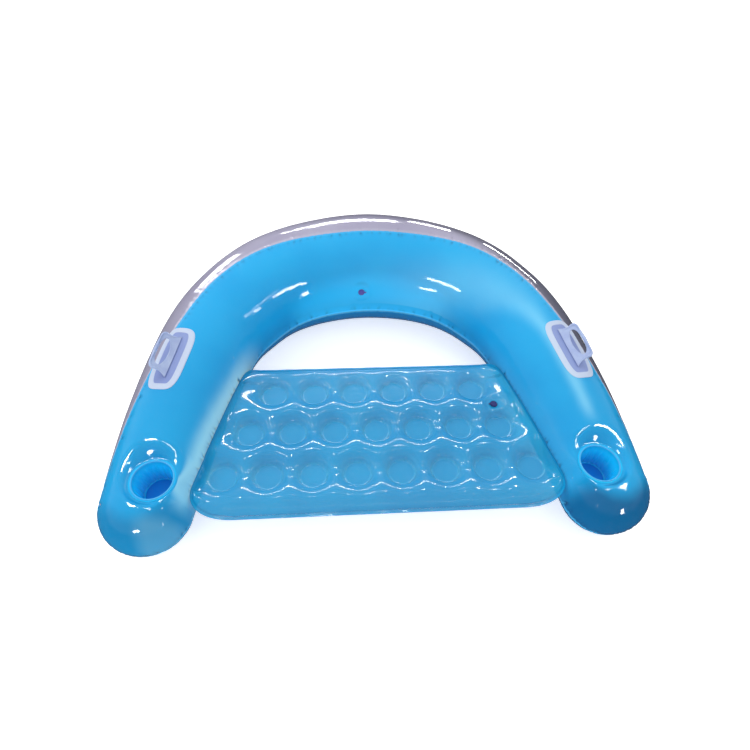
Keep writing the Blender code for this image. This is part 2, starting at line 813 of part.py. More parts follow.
class SeatPad:
    """The tufted pad. Its two sheets share one mesh in plan, so that they meet only at the discs and the edge."""

    def __init__(self):
        self.outline = seat_outline()
        self.arm = [p.place for p in self.outline if p.tie == 1 and p.place.x > 0]
        self.arm.sort(key=lambda place: place.y)
        self.discs = disc_centres(self.arm)
        back = ROW_MIDDLE + SEAT_VALVE_BEHIND_ROW
        self.valve = Vector((self.arm_place(back)[0] - SEAT_VALVE_FROM_ARM, back))
        self.free_lines = []
        for facing in (1, -1):
            run = [p.place.xy for p in self.outline if p.tie < 1 and (p.place.y - ROW_MIDDLE) * facing > 0]
            self.free_lines.append(sorted(run, key=lambda spot: spot.x))
        plan = [point.place.xy for point in self.outline]
        self.count = len(plan)
        loop = [(i, (i + 1) % self.count) for i in range(self.count)]
        spots = plan + seat_spots(self.outline, self.discs, self.valve)
        found = delaunay_2d_cdt(spots, loop, [], 1, CLEARANCE / 10)
        self.spots = found[0]
        self.faces = [tuple(face) for face in found[2]]
        self.sources = [min(source) for source in found[3]]
        edge = {source: i for i, source in enumerate(self.sources) if source < self.count}
        base = len(self.spots)
        for i, j in loop:
            self.faces.append((edge[i], edge[j], base + j))
            self.faces.append((edge[i], base + j, base + i))
        self.shapes = [self.shape_at(spot) for spot in self.spots]
        self.middles = []
        for spot, source, (level, _) in zip(self.spots, self.sources, self.shapes):
            at_edge = source < self.count
            place = self.outline[source].place if at_edge else Vector((spot.x, spot.y, level))
            self.middles.append(place)
        self.middles += [point.flange_end() for point in self.outline]
        self.offsets = shell_offsets(self.middles, self.faces)

    def arm_place(self, back):
        """Where the right arm's weld line is, across and up, at a place along Y."""
        backs = [place.y for place in self.arm]
        across = np.interp(back, backs, [place.x for place in self.arm])
        return across, np.interp(back, backs, [place.z for place in self.arm])

    def shape_at(self, spot):
        """Level midway between the sheets, and how far each stands off it."""
        rise, gap = blister_height(spot, self.discs, self.free_lines)
        arm_across, arm_height = self.arm_place(spot.y)
        to_arm = max(arm_across - abs(spot.x), 0)
        pull = (gap / (gap + to_arm + SHEET)) ** ARM_PULL
        plane = seat_plane(spot.y)
        return plane + (arm_height - plane) * pull, rise * (1 - pull)

    def valve_place(self):
        level, rise = self.shape_at(self.valve)
        return Vector((self.valve.x, self.valve.y, level + SHEET_OFF_MIDDLE + rise))

    def build(self, name, above, colour):
        """The upper sheet (above is 1) or the lower (-1)."""
        corners = []
        for i, (middle, offset) in enumerate(zip(self.middles, self.offsets)):
            corner = middle + offset * above * SHEET_OFF_MIDDLE
            if i < len(self.spots) and self.sources[i] >= self.count:
                corner.z += above * self.shapes[i][1]
                near_valve = (self.spots[i] - self.valve).length < VALVE_SPOT_RADIUS + LEAST_SPACING / 2
                if above > 0 and near_valve:
                    corner.z = self.valve_place().z
            corners.append(corner)
        built = add_object(name, corners, self.faces, colour)
        face_normals(built, Vector((0, 0, above)))
        thicken(built, SHEET)
        return built


def shell_offsets(corners, faces):
    """Upward normal at each corner, lengthened at bends so that a sheet moved along it keeps its distance."""
    shape = bmesh.new()
    made = [shape.verts.new(corner) for corner in corners]
    for face in faces:
        shape.faces.new([made[i] for i in face])
    bmesh.ops.recalc_face_normals(shape, faces=shape.faces)
    if sum(face.normal.z for face in shape.faces) < 0:
        bmesh.ops.reverse_faces(shape, faces=shape.faces)
    shape.normal_update()
    found = [corner.normal * corner.calc_shell_factor() for corner in made]
    shape.free()
    return found


def build_seat():
    """Both sheets of the seat pad, and the spot where its valve goes."""
    pad = SeatPad()
    upper = pad.build("seat_top_sheet", 1, PALE_BLUE)
    pad.build("seat_bottom_sheet", -1, BLUE)
    return upper, pad.valve_place()


def patch_point(side, along, across, lift):
    """Point over an arm round the handle: along runs to the front and across to the outside."""
    step = 0.0005
    pace = (centre(HANDLE_SHARE + step) - centre(HANDLE_SHARE - step)).length / (2 * step)
    place = HANDLE_SHARE + along / pace
    angle = HANDLE_ANGLE - math.degrees(across / tube_radius(HANDLE_SHARE))
    return tube_point(place, side, angle, lift)


def build_patch(name, side):
    """Oblong patch welded to the arm, which carries the grip."""
    grid = Grid()
    rings = []
    for k in range(PATCH_RINGS + 1):
        ring = []
        for i in range(PATCH_SPOKES + 1):
            turn = 2 * math.pi * (i % PATCH_SPOKES) / PATCH_SPOKES
            along, across = superellipse(turn, PATCH_LENGTH, PATCH_WIDTH, PATCH_SQUARENESS)
            share = k / PATCH_RINGS
            lift = PATCH_LIFT + PATCH_THICKNESS
            ring.append(patch_point(side, along * share, across * share + PATCH_OUTWARD, lift))
        rings.append(ring)
    grid.patch(rings)
    built = add_object(name, grid.corners, grid.faces, MILKY, 0.25)
    face_normals(built, Vector((0, 0, 1)))
    thicken(built, PATCH_THICKNESS)


def grip_outline(turn):
    """Where a ray from the middle of the finger hole meets the middle of the grip's edge bead."""
    top = GRIP_HEIGHT - GRIP_BEAD_RADIUS
    half_root = ROOT_LENGTH / 2
    half_grip = GRIP_LENGTH / 2
    shoulder = half_grip + GRIP_CHAMFER / 2
    waist = lerp(half_root, shoulder, WAIST_SHARE) - GRIP_WAIST
    corners = [
        (-half_root, 0),
        (half_root, 0),
        (waist, (top - GRIP_CHAMFER) * WAIST_SHARE),
        (shoulder, top - GRIP_CHAMFER),
        (half_grip - GRIP_CHAMFER / 2, top),
        (GRIP_CHAMFER / 2 - half_grip, top),
        (-shoulder, top - GRIP_CHAMFER),
        (-waist, (top - GRIP_CHAMFER) * WAIST_SHARE),
    ]
    ray = Vector((math.cos(turn), math.sin(turn)))
    best = None
    for first, last in zip(corners, corners[1:] + corners[:1]):
        start = Vector(first) - Vector((0, HOLE_RISE))
        along = Vector(last) - Vector(first)
        cross = ray.x * along.y - ray.y * along.x
        if abs(cross) < CLEARANCE * CLEARANCE:
            continue
        reach = (start.x * along.y - start.y * along.x) / cross
        share = (start.x * ray.y - start.y * ray.x) / cross
        if reach > 0 and 0 <= share <= 1 and (best is None or reach < best):
            best = reach
    return ray * best


def build_grip(name, side):
    """D-shaped grip with a finger hole. It stands on a bead along its root, which is its hinge line."""
    columns = []
    for i in range(GRIP_SPOKES + 1):
        turn = 2 * math.pi * ((i % GRIP_SPOKES) + 0.5) / GRIP_SPOKES
        edge = grip_outline(turn)
        out = edge.normalized()
        rise = (edge.y + HOLE_RISE) / (GRIP_HEIGHT - GRIP_BEAD_RADIUS)
        bead = lerp(ROOT_BEAD_RADIUS, GRIP_BEAD_RADIUS, ease(rise))
        across, up = superellipse(turn, HOLE_LENGTH, HOLE_WIDTH, HOLE_SQUARENESS)
        if up < 0:
            up = up * (1 - HOLE_BOW_SHARE * (2 * across / HOLE_LENGTH) ** 2)
        hole = Vector((across, up))
        web = WEB_THICKNESS / 2
        neck = edge - out * bead
        section = (
            (hole, web),
            (neck, web),
            (edge, bead),
            (edge + out * bead * math.cos(math.pi / 4), bead * math.cos(math.pi / 4)),
            (edge + out * bead, 0),
        )
        points = [Vector((spot.x, depth, spot.y + HOLE_RISE)) for spot, depth in section]
        flip = Vector((1, -1, 1))
        points += [point * flip for point in points[-2::-1]]
        columns.append([*points, points[0]])
    grid = Grid()
    grid.patch(columns)
    built = add_object(name, grid.corners, grid.faces, MILKY, 0.25)
    shape = bmesh.new()
    shape.from_mesh(built.data)
    bmesh.ops.recalc_face_normals(shape, faces=shape.faces)
    shape.to_mesh(built.data)
    shape.free()
    outer_lift = PATCH_LIFT + PATCH_THICKNESS
    rear = patch_point(side, -ROOT_LENGTH / 2, 0, outer_lift)
    front = patch_point(side, ROOT_LENGTH / 2, 0, outer_lift)
    along = (front - rear).normalized()
    upright = Vector((0, 0, 1))
    upright = (upright - along * upright.dot(along)).normalized()
    out = Vector((side, 0, 0))
    out = (out - along * out.dot(along) - upright * out.dot(upright)).normalized()
    needed = 0
    for i in range(ROOT_SAMPLES):
        spot = lerp(-ROOT_LENGTH / 2, ROOT_LENGTH / 2, i / (ROOT_SAMPLES - 1))
        for across in (-ROOT_BEAD_RADIUS, 0, ROOT_BEAD_RADIUS):
            surface = patch_point(side, spot, across, outer_lift)
            needed = max(needed, (surface - rear).dot(upright))
    middle = (rear + front) / 2 + upright * (needed + ROOT_BEAD_RADIUS + CLEARANCE)
    lean = upright * math.cos(HANDLE_LEAN) + out * math.sin(HANDLE_LEAN)
    third = lean.cross(along)
    turn = Matrix((along, third, lean)).transposed().to_4x4()
    built.matrix_world = Matrix.Translation(middle) @ turn


def build_valve(name, sheet, spot, normal, play):
    """Air valve: welded flange with a sleeve, sliding stem, plug with a pull strap, and check flap."""
    frame = bpy.data.objects.new(f"{name}_axis", None)
    bpy.context.collection.objects.link(frame)
    frame.matrix_world = Matrix.Translation(spot) @ normal.to_track_quat("Z", "Y").to_matrix().to_4x4()
    bore = STEM_RADIUS + CLEARANCE
    hole = make_turned(
        f"{name}_hole",
        [(0, -OVERRUN), (bore + CLEARANCE, -OVERRUN), (bore + CLEARANCE, OVERRUN), (0, OVERRUN)],
        NAVY,
    )
    hide_cutter(hole)
    under = -SHEET - play
    low = under - FLANGE_THICKNESS
    flange = make_turned(
        f"{name}_flange",
        [
            (bore, under),
            (FLANGE_RADIUS, under),
            (FLANGE_RADIUS, low),
            (bore + SLEEVE_WALL, low),
            (bore + SLEEVE_WALL, low - SLEEVE_DEPTH),
            (bore, low - SLEEVE_DEPTH),
        ],
        NAVY,
    )
    lip = CLEARANCE + LIP_THICKNESS
    inner = STEM_RADIUS - STEM_WALL
    stem = make_turned(
        f"{name}_stem",
        [
            (inner, -STEM_DEPTH),
            (STEM_RADIUS, -STEM_DEPTH),
            (STEM_RADIUS, CLEARANCE),
            (LIP_RADIUS, CLEARANCE),
            (LIP_RADIUS, lip),
            (inner, lip),
        ],
        NAVY,
    )
    peg = inner - CLEARANCE
    seat = lip + CLEARANCE
    plug = make_turned(
        f"{name}_plug",
        [
            (0, seat - PEG_LENGTH),
            (peg, seat - PEG_LENGTH),
            (peg, seat),
            (PLUG_RADIUS, seat),
            (PLUG_RADIUS, seat + PLUG_THICKNESS),
            (0, seat + PLUG_THICKNESS),
        ],
        NAVY,
    )
    strap = add_box(
        f"{name}_strap",
        (PLUG_RADIUS / 2, -STRAP_WIDTH / 2, seat + CLEARANCE),
        (STRAP_REACH, STRAP_WIDTH / 2, seat + CLEARANCE + STRAP_THICKNESS),
    )
    hide_cutter(strap)
    join = plug.modifiers.new("Strap", "BOOLEAN")
    join.operation = "UNION"
    join.object = strap
    top = -STEM_DEPTH - CLEARANCE
    flap_radius = STEM_RADIUS - FLAP_INSET
    flap = make_turned(
        f"{name}_flap",
        [(0, top - FLAP_THICKNESS), (flap_radius, top - FLAP_THICKNESS), (flap_radius, top), (0, top)],
        NAVY,
    )
    for piece in (hole, flange, stem, plug, strap, flap):
        piece.parent = frame
    cut(sheet, hole)


def add_box(name, low, high):
    """A box between two corners."""
    shape = bmesh.new()
    bmesh.ops.create_cube(shape, size=1)
    middle = (Vector(low) + Vector(high)) / 2
    size = Vector(high) - Vector(low)
    for corner in shape.verts:
        corner.co = middle + corner.co * size
    mesh = bpy.data.meshes.new(name)
    shape.to_mesh(mesh)
    shape.free()
    built = bpy.data.objects.new(name, mesh)
    bpy.context.collection.objects.link(built)
    return built


def tube_valve_spot():
    """Middle and normal of the facet on the front of the back tube that carries the tube's valve."""
    places = BACK_PLACES[:2]
    rows = (TUBE_VALVE_ROW, TUBE_VALVE_ROW + 1)
    corners = [tube_point(p, -1, crown_angles(p)[row]) for p in places for row in rows]
    spot = sum(corners, Vector()) / len(corners)
    normal = (corners[3] - corners[0]).cross(corners[2] - corners[1]).normalized()
    middle = centre(places[0])
    if normal.dot(spot - Vector((middle.x, middle.y, spot.z))) < 0:
        normal = -normal
    return spot, normal


def main():
    top, _ = build_tube()
    for side_name, side in (("left", -1), ("right", 1)):
        build_cup(side_name, side)
        build_patch(f"{side_name}_handle_patch", side)
        build_grip(f"{side_name}_handle_grip", side)
    upper, spot = build_seat()
    build_valve("seat_valve", upper, spot, Vector((0, 0, 1)), CLEARANCE)
    spot, normal = tube_valve_spot()
    build_valve("tube_valve", top, spot, normal, SKIN_ALLOWANCE)


main()
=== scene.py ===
"""Looks of the inflatable pool chair: films, welds, cup holders, handles, light and camera."""
import math

import bmesh
import bpy
import numpy as np
from mathutils import Matrix, Vector, noise
from mathutils.kdtree import KDTree


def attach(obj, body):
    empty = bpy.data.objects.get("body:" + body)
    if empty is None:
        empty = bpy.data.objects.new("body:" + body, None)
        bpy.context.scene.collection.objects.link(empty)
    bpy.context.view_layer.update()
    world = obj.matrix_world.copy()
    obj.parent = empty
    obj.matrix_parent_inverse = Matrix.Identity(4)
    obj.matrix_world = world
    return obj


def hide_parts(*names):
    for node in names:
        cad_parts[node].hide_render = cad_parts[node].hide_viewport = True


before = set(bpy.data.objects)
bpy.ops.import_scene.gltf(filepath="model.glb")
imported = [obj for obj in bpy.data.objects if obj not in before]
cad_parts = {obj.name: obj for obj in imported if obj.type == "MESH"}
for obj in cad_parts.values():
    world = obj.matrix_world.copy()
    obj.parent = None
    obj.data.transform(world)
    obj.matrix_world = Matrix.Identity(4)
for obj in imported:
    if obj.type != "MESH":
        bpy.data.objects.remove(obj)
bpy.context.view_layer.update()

# Whole chair, as in the CAD
OVERALL_WIDTH = 1.52
OVERALL_DEPTH = 1.196
BACK_RADIUS = 0.1885
SHOULDER_RADIUS = 0.163
ARM_END_RADIUS = 0.122
FOOT_SINK = 0.004
SHEET = 0.0004
CLEARANCE = 0.0003
CENTRELINE_ACROSS_SHARES = (0.0, 0.453, 0.6905, 0.8307, 0.939, 1.0)
CENTRELINE_BACK_SHARES = (1.0, 0.9282, 0.7888, 0.6189, 0.3004, 0.0)
OUTER_SEAM_ANGLES = (98.0, 91.0, 80.5, 73.0, 53.0, 30.0)
INNER_SEAM_ANGLE = 192.0
FRONT_SEAM_ANGLE = -22.0
COLLAR_RISE_ANGLE = 14.0
LAP = 0.008
JOG = 0.002
WELD_REAR_ANGLE = 177.0
WELD_FRONT_ANGLE = 160.0
WELD_REAR_SHARE = 0.69
WELD_FRONT_SHARE = 0.9617
CUP_ROW_SHARE = 0.885
MIDDLE_EASE = 0.03

# Cup holders
CUP_INBOARD = 0.036
CUP_BEHIND_END = 0.0375
CUP_SINK = 0.019
CUP_RIM_RADIUS = 0.0605
CUP_MOUTH_RADIUS = 0.0525
CUP_FLOOR_RADIUS = 0.046
CUP_DEPTH = 0.086
CUP_BEAD = 0.004
CUP_HOLE_PLAY = 0.003
CUP_LANDING = 0.009
CUP_DIMPLE = 0.050
CUP_DIMPLE_AHEAD = 0.015
DIMPLE_SHARPNESS = 4.0
DIMPLE_SPAN = (-0.9, 0.6)

# Seat pad
SEAT_SINK = 0.003
SEAT_TILT = math.radians(2.5)
SEAT_OVERHANG = 0.035
SEAT_DEPTH = 0.499
MIDDLE_ROW_BEHIND = 0.2563
ROW_PITCH = 0.1425
DISC_PITCH = 0.1266
DISC_RADIUS = 0.040
DISCS_IN_ROWS = (8, 7, 6)
SEAT_FLANGE = 0.010
CORNER_DRAW = 0.008
REAR_CORNER = 0.052
FRONT_CORNER = 0.115
FLANGE_FLARE = 0.001
ARM_PULL = 3

# Handles
HANDLE_SHARE = 0.718
HANDLE_ANGLE = 84.0
PATCH_LENGTH = 0.215
PATCH_WIDTH = 0.099
PATCH_OUTWARD = 0.008
PATCH_THICKNESS = 0.0012
PATCH_LIFT = 0.0007
PATCH_SQUARENESS = 3.6
ROOT_LENGTH = 0.138
GRIP_LENGTH = 0.104
GRIP_HEIGHT = 0.058
GRIP_BEAD_RADIUS = 0.0045
ROOT_BEAD_RADIUS = 0.0022
WEB_THICKNESS = 0.0026
HOLE_LENGTH = 0.088
HOLE_WIDTH = 0.031
HOLE_RISE = 0.0315
HOLE_BOW_SHARE = 0.35
HOLE_SQUARENESS = 2.6
HANDLE_LEAN = math.radians(48)
GRIP_CHAMFER = 0.012

# Valves
TUBE_VALVE_SPOT = (-0.02698, 0.22752, 0.23327)
TUBE_VALVE_NORMAL = (0.01418, -0.96426, 0.26458)
SEAT_VALVE_SPOT = (0.37135, -0.1856, 0.14365)
VALVE_FLAT_RADIUS = 0.017
VALVE_FLAT_FADE = 0.022

# Steps along the centreline, merging points, and finding places on meshes
PLACE_STEP = 0.0005
MERGE_GRID = 0.000005
SAME_SPOT = 0.0001
FAR_OFF = 9.0

# Worked out from these
ARM_ACROSS = OVERALL_WIDTH / 2 - ARM_END_RADIUS
BACK_CENTRE = OVERALL_DEPTH / 2 - BACK_RADIUS
ARM_END = ARM_END_RADIUS - OVERALL_DEPTH / 2
CUP_ACROSS = ARM_ACROSS - CUP_INBOARD
CUP_BACK = ARM_END + CUP_BEHIND_END
CUP_AXIS = np.array([CUP_ACROSS, CUP_BACK])
CUP_LANDING_RADIUS = CUP_MOUTH_RADIUS + CUP_HOLE_PLAY + CUP_LANDING
CUP_RIM_HEIGHT = 2 * ARM_END_RADIUS - FOOT_SINK - CUP_SINK
SEAT_HEIGHT = ARM_END_RADIUS - SEAT_SINK
SEAT_FRONT = ARM_END - SEAT_OVERHANG
SEAT_REAR = SEAT_FRONT + SEAT_DEPTH
ROW_MIDDLE = SEAT_FRONT + MIDDLE_ROW_BEHIND
WELD_MIDDLE = CLEARANCE + SHEET + CLEARANCE / 2
SHEET_OFF_MIDDLE = CLEARANCE / 2 + SHEET


def lerp(first, second, share):
    return first + (second - first) * share


def ease(share):
    """Smooth step from 0 to 1."""
    share = np.clip(share, 0.0, 1.0)
    return share * share * (3 - 2 * share)


def fade(values, first, last):
    """0 up to the first value and 1 from the last one, which may be the smaller."""
    return ease((values - first) / (last - first))


def bell(values, middle, width):
    return np.exp(-(((values - middle) / width) ** 2))


def unit(vectors):
    return vectors / np.linalg.norm(vectors, axis=-1, keepdims=True)


def smooth_curve(values, flat_start):
    """The cubic through evenly spaced values, as a function of shares from 0 to 1."""
    values = np.array(values, dtype=float)
    count = len(values)
    rows = np.zeros((count, count))
    right = np.zeros(count)
    for i in range(1, count - 1):
        rows[i, i - 1 : i + 2] = 1, 4, 1
        right[i] = 6 * (values[i - 1] - 2 * values[i] + values[i + 1])
    rows[0, 0] = 1
    rows[-1, -1] = 1
    if flat_start:
        rows[0, :2] = 2, 1
        right[0] = 6 * (values[1] - values[0])
    bend = np.linalg.solve(rows, right)

    def at(share):
        spot = np.asarray(share) * (count - 1)
        i = np.minimum(spot.astype(int), count - 2)
        b = spot - i
        a = 1 - b
        curved = (a**3 - a) * bend[i] + (b**3 - b) * bend[i + 1]
        return a * values[i] + b * values[i + 1] + curved / 6

    return at


across_share = smooth_curve(CENTRELINE_ACROSS_SHARES, False)
back_share = smooth_curve(CENTRELINE_BACK_SHARES, True)
outer_seam = smooth_curve(OUTER_SEAM_ANGLES, True)


def tube_radius(place):
    """Radius of the tube, eased where its two halves meet at the middle of the back."""
    slope = 4 * SHOULDER_RADIUS - 3 * BACK_RADIUS - ARM_END_RADIUS
    return (
        BACK_RADIUS * (1 - place) * (1 - 2 * place)
        + SHOULDER_RADIUS * 4 * place * (1 - place)
        + ARM_END_RADIUS * place * (2 * place - 1)
        + slope * (np.sqrt(place**2 + MIDDLE_EASE**2) - place)
    )


def centre(place):
    across = ARM_ACROSS * across_share(place)
    return np.stack([across, lerp(ARM_END, BACK_CENTRE, back_share(place))], -1)


def outward(place):
    """Direction in plan that leaves the seat, square to the centreline."""
    ahead, behind = np.minimum(place + PLACE_STEP, 1.0), np.maximum(place - PLACE_STEP, 0.0)
    along = centre(ahead) - centre(behind)
    return unit(np.stack([-along[..., 1], along[..., 0]], -1))


def section(middle, direction, radius, angle, lift, side):
    """Points of a round section that stands on the floor, at angles in degrees."""
    angle = np.radians(angle)
    reach = radius + lift
    level = middle + direction * (reach * np.cos(angle))[..., None]
    height = np.maximum(radius - FOOT_SINK + reach * np.sin(angle), 0)
    return np.concatenate([level * (side, 1), height[..., None]], -1)


def tube(place, side, angle, lift=0.0):
    """Points of the air tube. Place 0 is the middle of the back and 1 the end of an arm."""
    place, angle = np.broadcast_arrays(np.asarray(place, float), angle)
    return section(centre(place), outward(place), tube_radius(place), angle, lift, side)


def tip(turn, side, angle, lift=0.0):
    """Points of an arm's round end: turn 0 faces out, 90 ahead and 180 in."""
    turn, angle = np.broadcast_arrays(np.asarray(turn, float), angle)
    end = np.array(1.0)
    out = outward(end)
    ahead = np.array([out[1], -out[0]])
    turn = np.radians(turn)[..., None]
    direction = out * np.cos(turn) + ahead * np.sin(turn)
    return section(centre(end), direction, ARM_END_RADIUS, angle, lift, side)


def weld_angle(place):
    """Angle of the line along which the seat is welded to the arm."""
    share = (place - WELD_REAR_SHARE) / (1 - WELD_REAR_SHARE)
    return lerp(WELD_REAR_ANGLE, WELD_FRONT_ANGLE, np.clip(share, 0, 1))


def tip_blend(turn, outer, front, inner):
    return np.where(
        turn <= 90, lerp(outer, front, ease(turn / 90)), lerp(front, inner, ease(turn / 90 - 1))
    )


def tip_seam(turn):
    return tip_blend(turn, outer_seam(1.0), FRONT_SEAM_ANGLE, 180 - INNER_SEAM_ANGLE)


def tip_collar(turn):
    front = FRONT_SEAM_ANGLE + COLLAR_RISE_ANGLE
    return tip_blend(turn, outer_seam(1.0) + COLLAR_RISE_ANGLE, front, 180 - WELD_FRONT_ANGLE)


def arc_places(first, last, pitch):
    """Places along the centreline, evenly spaced in length."""
    fine = np.linspace(first, last, 400)
    spots = centre(fine)
    run = np.concatenate([[0], np.cumsum(np.linalg.norm(np.diff(spots, axis=0), axis=1))])
    return np.interp(np.linspace(0, run[-1], int(run[-1] / pitch) + 2), run, fine)


# Meshes
class Film:
    """Blocks of points in rows and columns. Points at one spot are made one."""

    def __init__(self):
        self.blocks = []
        self.quads = []
        self.count = 0

    def add(self, block):
        rows, columns = block.shape[:2]
        index = np.arange(rows * columns).reshape(rows, columns) + self.count
        around = [index[:-1, :-1], index[:-1, 1:], index[1:, 1:], index[1:, :-1]]
        self.quads.append(np.stack(around, -1).reshape(-1, 4))
        self.blocks.append(block.reshape(-1, 3))
        self.count += rows * columns

    def build(self, name, look, towards=None):
        """A smooth mesh whose mean normal faces the given way, or for a closed form outwards."""
        points = np.concatenate(self.blocks)
        keys = np.round(points / MERGE_GRID).astype(np.int64)
        _, first, back = np.unique(keys, axis=0, return_index=True, return_inverse=True)
        quads = back.reshape(-1)[np.concatenate(self.quads)]
        rings = [list(dict.fromkeys(quad)) for quad in quads.tolist()]
        faces = [ring for ring in rings if len(ring) > 2]
        mesh = bpy.data.meshes.new(name)
        mesh.from_pydata(points[first].tolist(), [], faces)
        shape = bmesh.new()
        shape.from_mesh(mesh)
        bmesh.ops.recalc_face_normals(shape, faces=shape.faces)
        if towards:
            total = sum((face.normal * face.calc_area() for face in shape.faces), Vector())
            if total.dot(Vector(towards)) < 0:
                bmesh.ops.reverse_faces(shape, faces=shape.faces)
        shape.to_mesh(mesh)
        shape.free()
        made = bpy.data.objects.new(name, mesh)
        bpy.context.collection.objects.link(made)
        mesh.materials.append(look)
        mesh.shade_smooth()
        return made


def read_rows(rows, name):
    found = np.empty(len(rows) * 3)
    rows.foreach_get(name, found)
    return found.reshape(-1, 3)


def corners_of(piece):
    return read_rows(piece.data.vertices, "co")


def normals_of(piece):
    return read_rows(piece.data.vertex_normals, "vector")


def set_corners(piece, points):
    piece.data.vertices.foreach_set("co", points.reshape(-1))
    piece.data.update()


def set_mark(piece, name, values):
    """A value for each corner, which the material reads."""
    layer = piece.data.attributes.new(name, "FLOAT", "POINT")
    layer.data.foreach_set("value", np.clip(values, 0, 1))


def tree_of(spots):
    tree = KDTree(len(spots))
    for i, spot in enumerate(spots):
        tree.insert(spot, i)
    tree.balance()
    return tree


def matched(points, known):
    """For each point the number of the known place it lies at, or -1 where there is none."""
    tree = tree_of(known.reshape(-1, 3))
    found = np.full(len(points), -1)
    for i, spot in enumerate(points):
        _, j, gap = tree.find(spot)
        if gap < SAME_SPOT:
            found[i] = j
    return found


def picked(values, at, default):
    """The values at the numbers found by matched, or the default."""
    return np.where(at < 0, default, values.reshape(-1)[at])


def run_length(line):
    steps = np.linalg.norm(np.diff(line, axis=0), axis=1)
    return np.concatenate([[0], np.cumsum(steps)])


def near_line(points, line, reach):
    """Distance to a run of points and how far along it that is. Out of reach, a large distance."""
    tree = tree_of(line)
    along = run_length(line)
    far = np.full(len(points), FAR_OFF)
    place = np.zeros(len(points))
    low = line.min(0) - reach
    high = line.max(0) + reach
    inside = ((points > low) & (points < high)).all(1)
    for i in np.nonzero(inside)[0]:
        _, j, gap = tree.find(points[i])
        if gap < reach:
            far[i] = gap
            place[i] = along[j]
    return far, place


PLEAT_PEAK = 0.22
PLEAT_SPREAD = 0.7


class Pleats:
    """Irregular creases that leave a line, each with its own place, depth and length."""

    def __init__(self, seed, length, pitch):
        chance = np.random.default_rng(seed)
        gaps = pitch * chance.uniform(0.5, 1.6, int(length / pitch * 2) + 8)
        spots = np.cumsum(gaps)
        self.spots = spots[spots < length]
        self.depth = chance.uniform(0.25, 1.0, len(self.spots)) ** 1.3
        self.reach = chance.uniform(0.6, 1.4, len(self.spots))
        self.slant = chance.uniform(-0.35, 0.35, len(self.spots))

    def field(self, far, place, reach, width):
        """Depth of the creases, from 0 at the line to 1 close to it and to 0 again at the reach."""
        total = np.zeros(len(far))
        first = np.searchsorted(self.spots, place)
        for k in range(-3, 3):
            j = np.clip(first + k, 0, len(self.spots) - 1)
            long = reach * self.reach[j]
            out = far / (long * PLEAT_PEAK)
            across = place - self.spots[j] - self.slant[j] * far
            wide = width * (PLEAT_SPREAD + far / long)
            total += self.depth[j] * bell(across, 0, wide) * out * np.exp(1 - out)
        return total


def waves(points, scale, seed):
    """Smooth random values between about -1 and 1."""
    shift = Vector((seed * 3.1, seed * 1.7, seed * 2.3))
    return np.array([noise.noise(Vector(p) * scale + shift) for p in points])


def flat_at(points, spot, normal):
    """Bring a sheet to the flat weld of a valve."""
    spot = np.array(spot)
    normal = unit(np.array(normal))
    off = points - spot
    height = off @ normal
    across = np.linalg.norm(off - height[:, None] * normal, axis=1)
    share = 1 - ease((across - VALVE_FLAT_RADIUS) / VALVE_FLAT_FADE)
    share = np.where(np.abs(height) < 2 * VALVE_FLAT_FADE, share, 0)
    return points - normal * (height * share)[:, None]


# Materials
def linear(red, green, blue):
    """A colour given as 0 to 255, as seen, in linear values."""
    values = [v / 255 for v in (red, green, blue)]
    bright = [v / 12.92 if v <= 0.04045 else ((v + 0.055) / 1.055) ** 2.4 for v in values]
    return (*bright, 1.0)


class Graph:
    """Helpers for the nodes of a material or of the sky."""

    def __init__(self, made, place):
        self.made = made
        made.use_nodes = True
        self.nodes = made.node_tree.nodes
        self.links = made.node_tree.links
        self.where = self.nodes.new("ShaderNodeTexCoord").outputs[place]

    def join(self, output, socket):
        self.links.new(output, socket)

    def span(self, value, low, high, first=0.0, last=1.0):
        made = self.nodes.new("ShaderNodeMapRange")
        ends = {"From Min": low, "From Max": high, "To Min": first, "To Max": last}
        for name, number in ends.items():
            made.inputs[name].default_value = number
        self.join(value, made.inputs["Value"])
        return made.outputs["Result"]

    def math(self, kind, first, second):
        made = self.nodes.new("ShaderNodeMath")
        made.operation = kind
        for socket, value in zip(made.inputs, (first, second)):
            if isinstance(value, (int, float)):
                socket.default_value = value
            else:
                self.join(value, socket)
        return made.outputs[0]


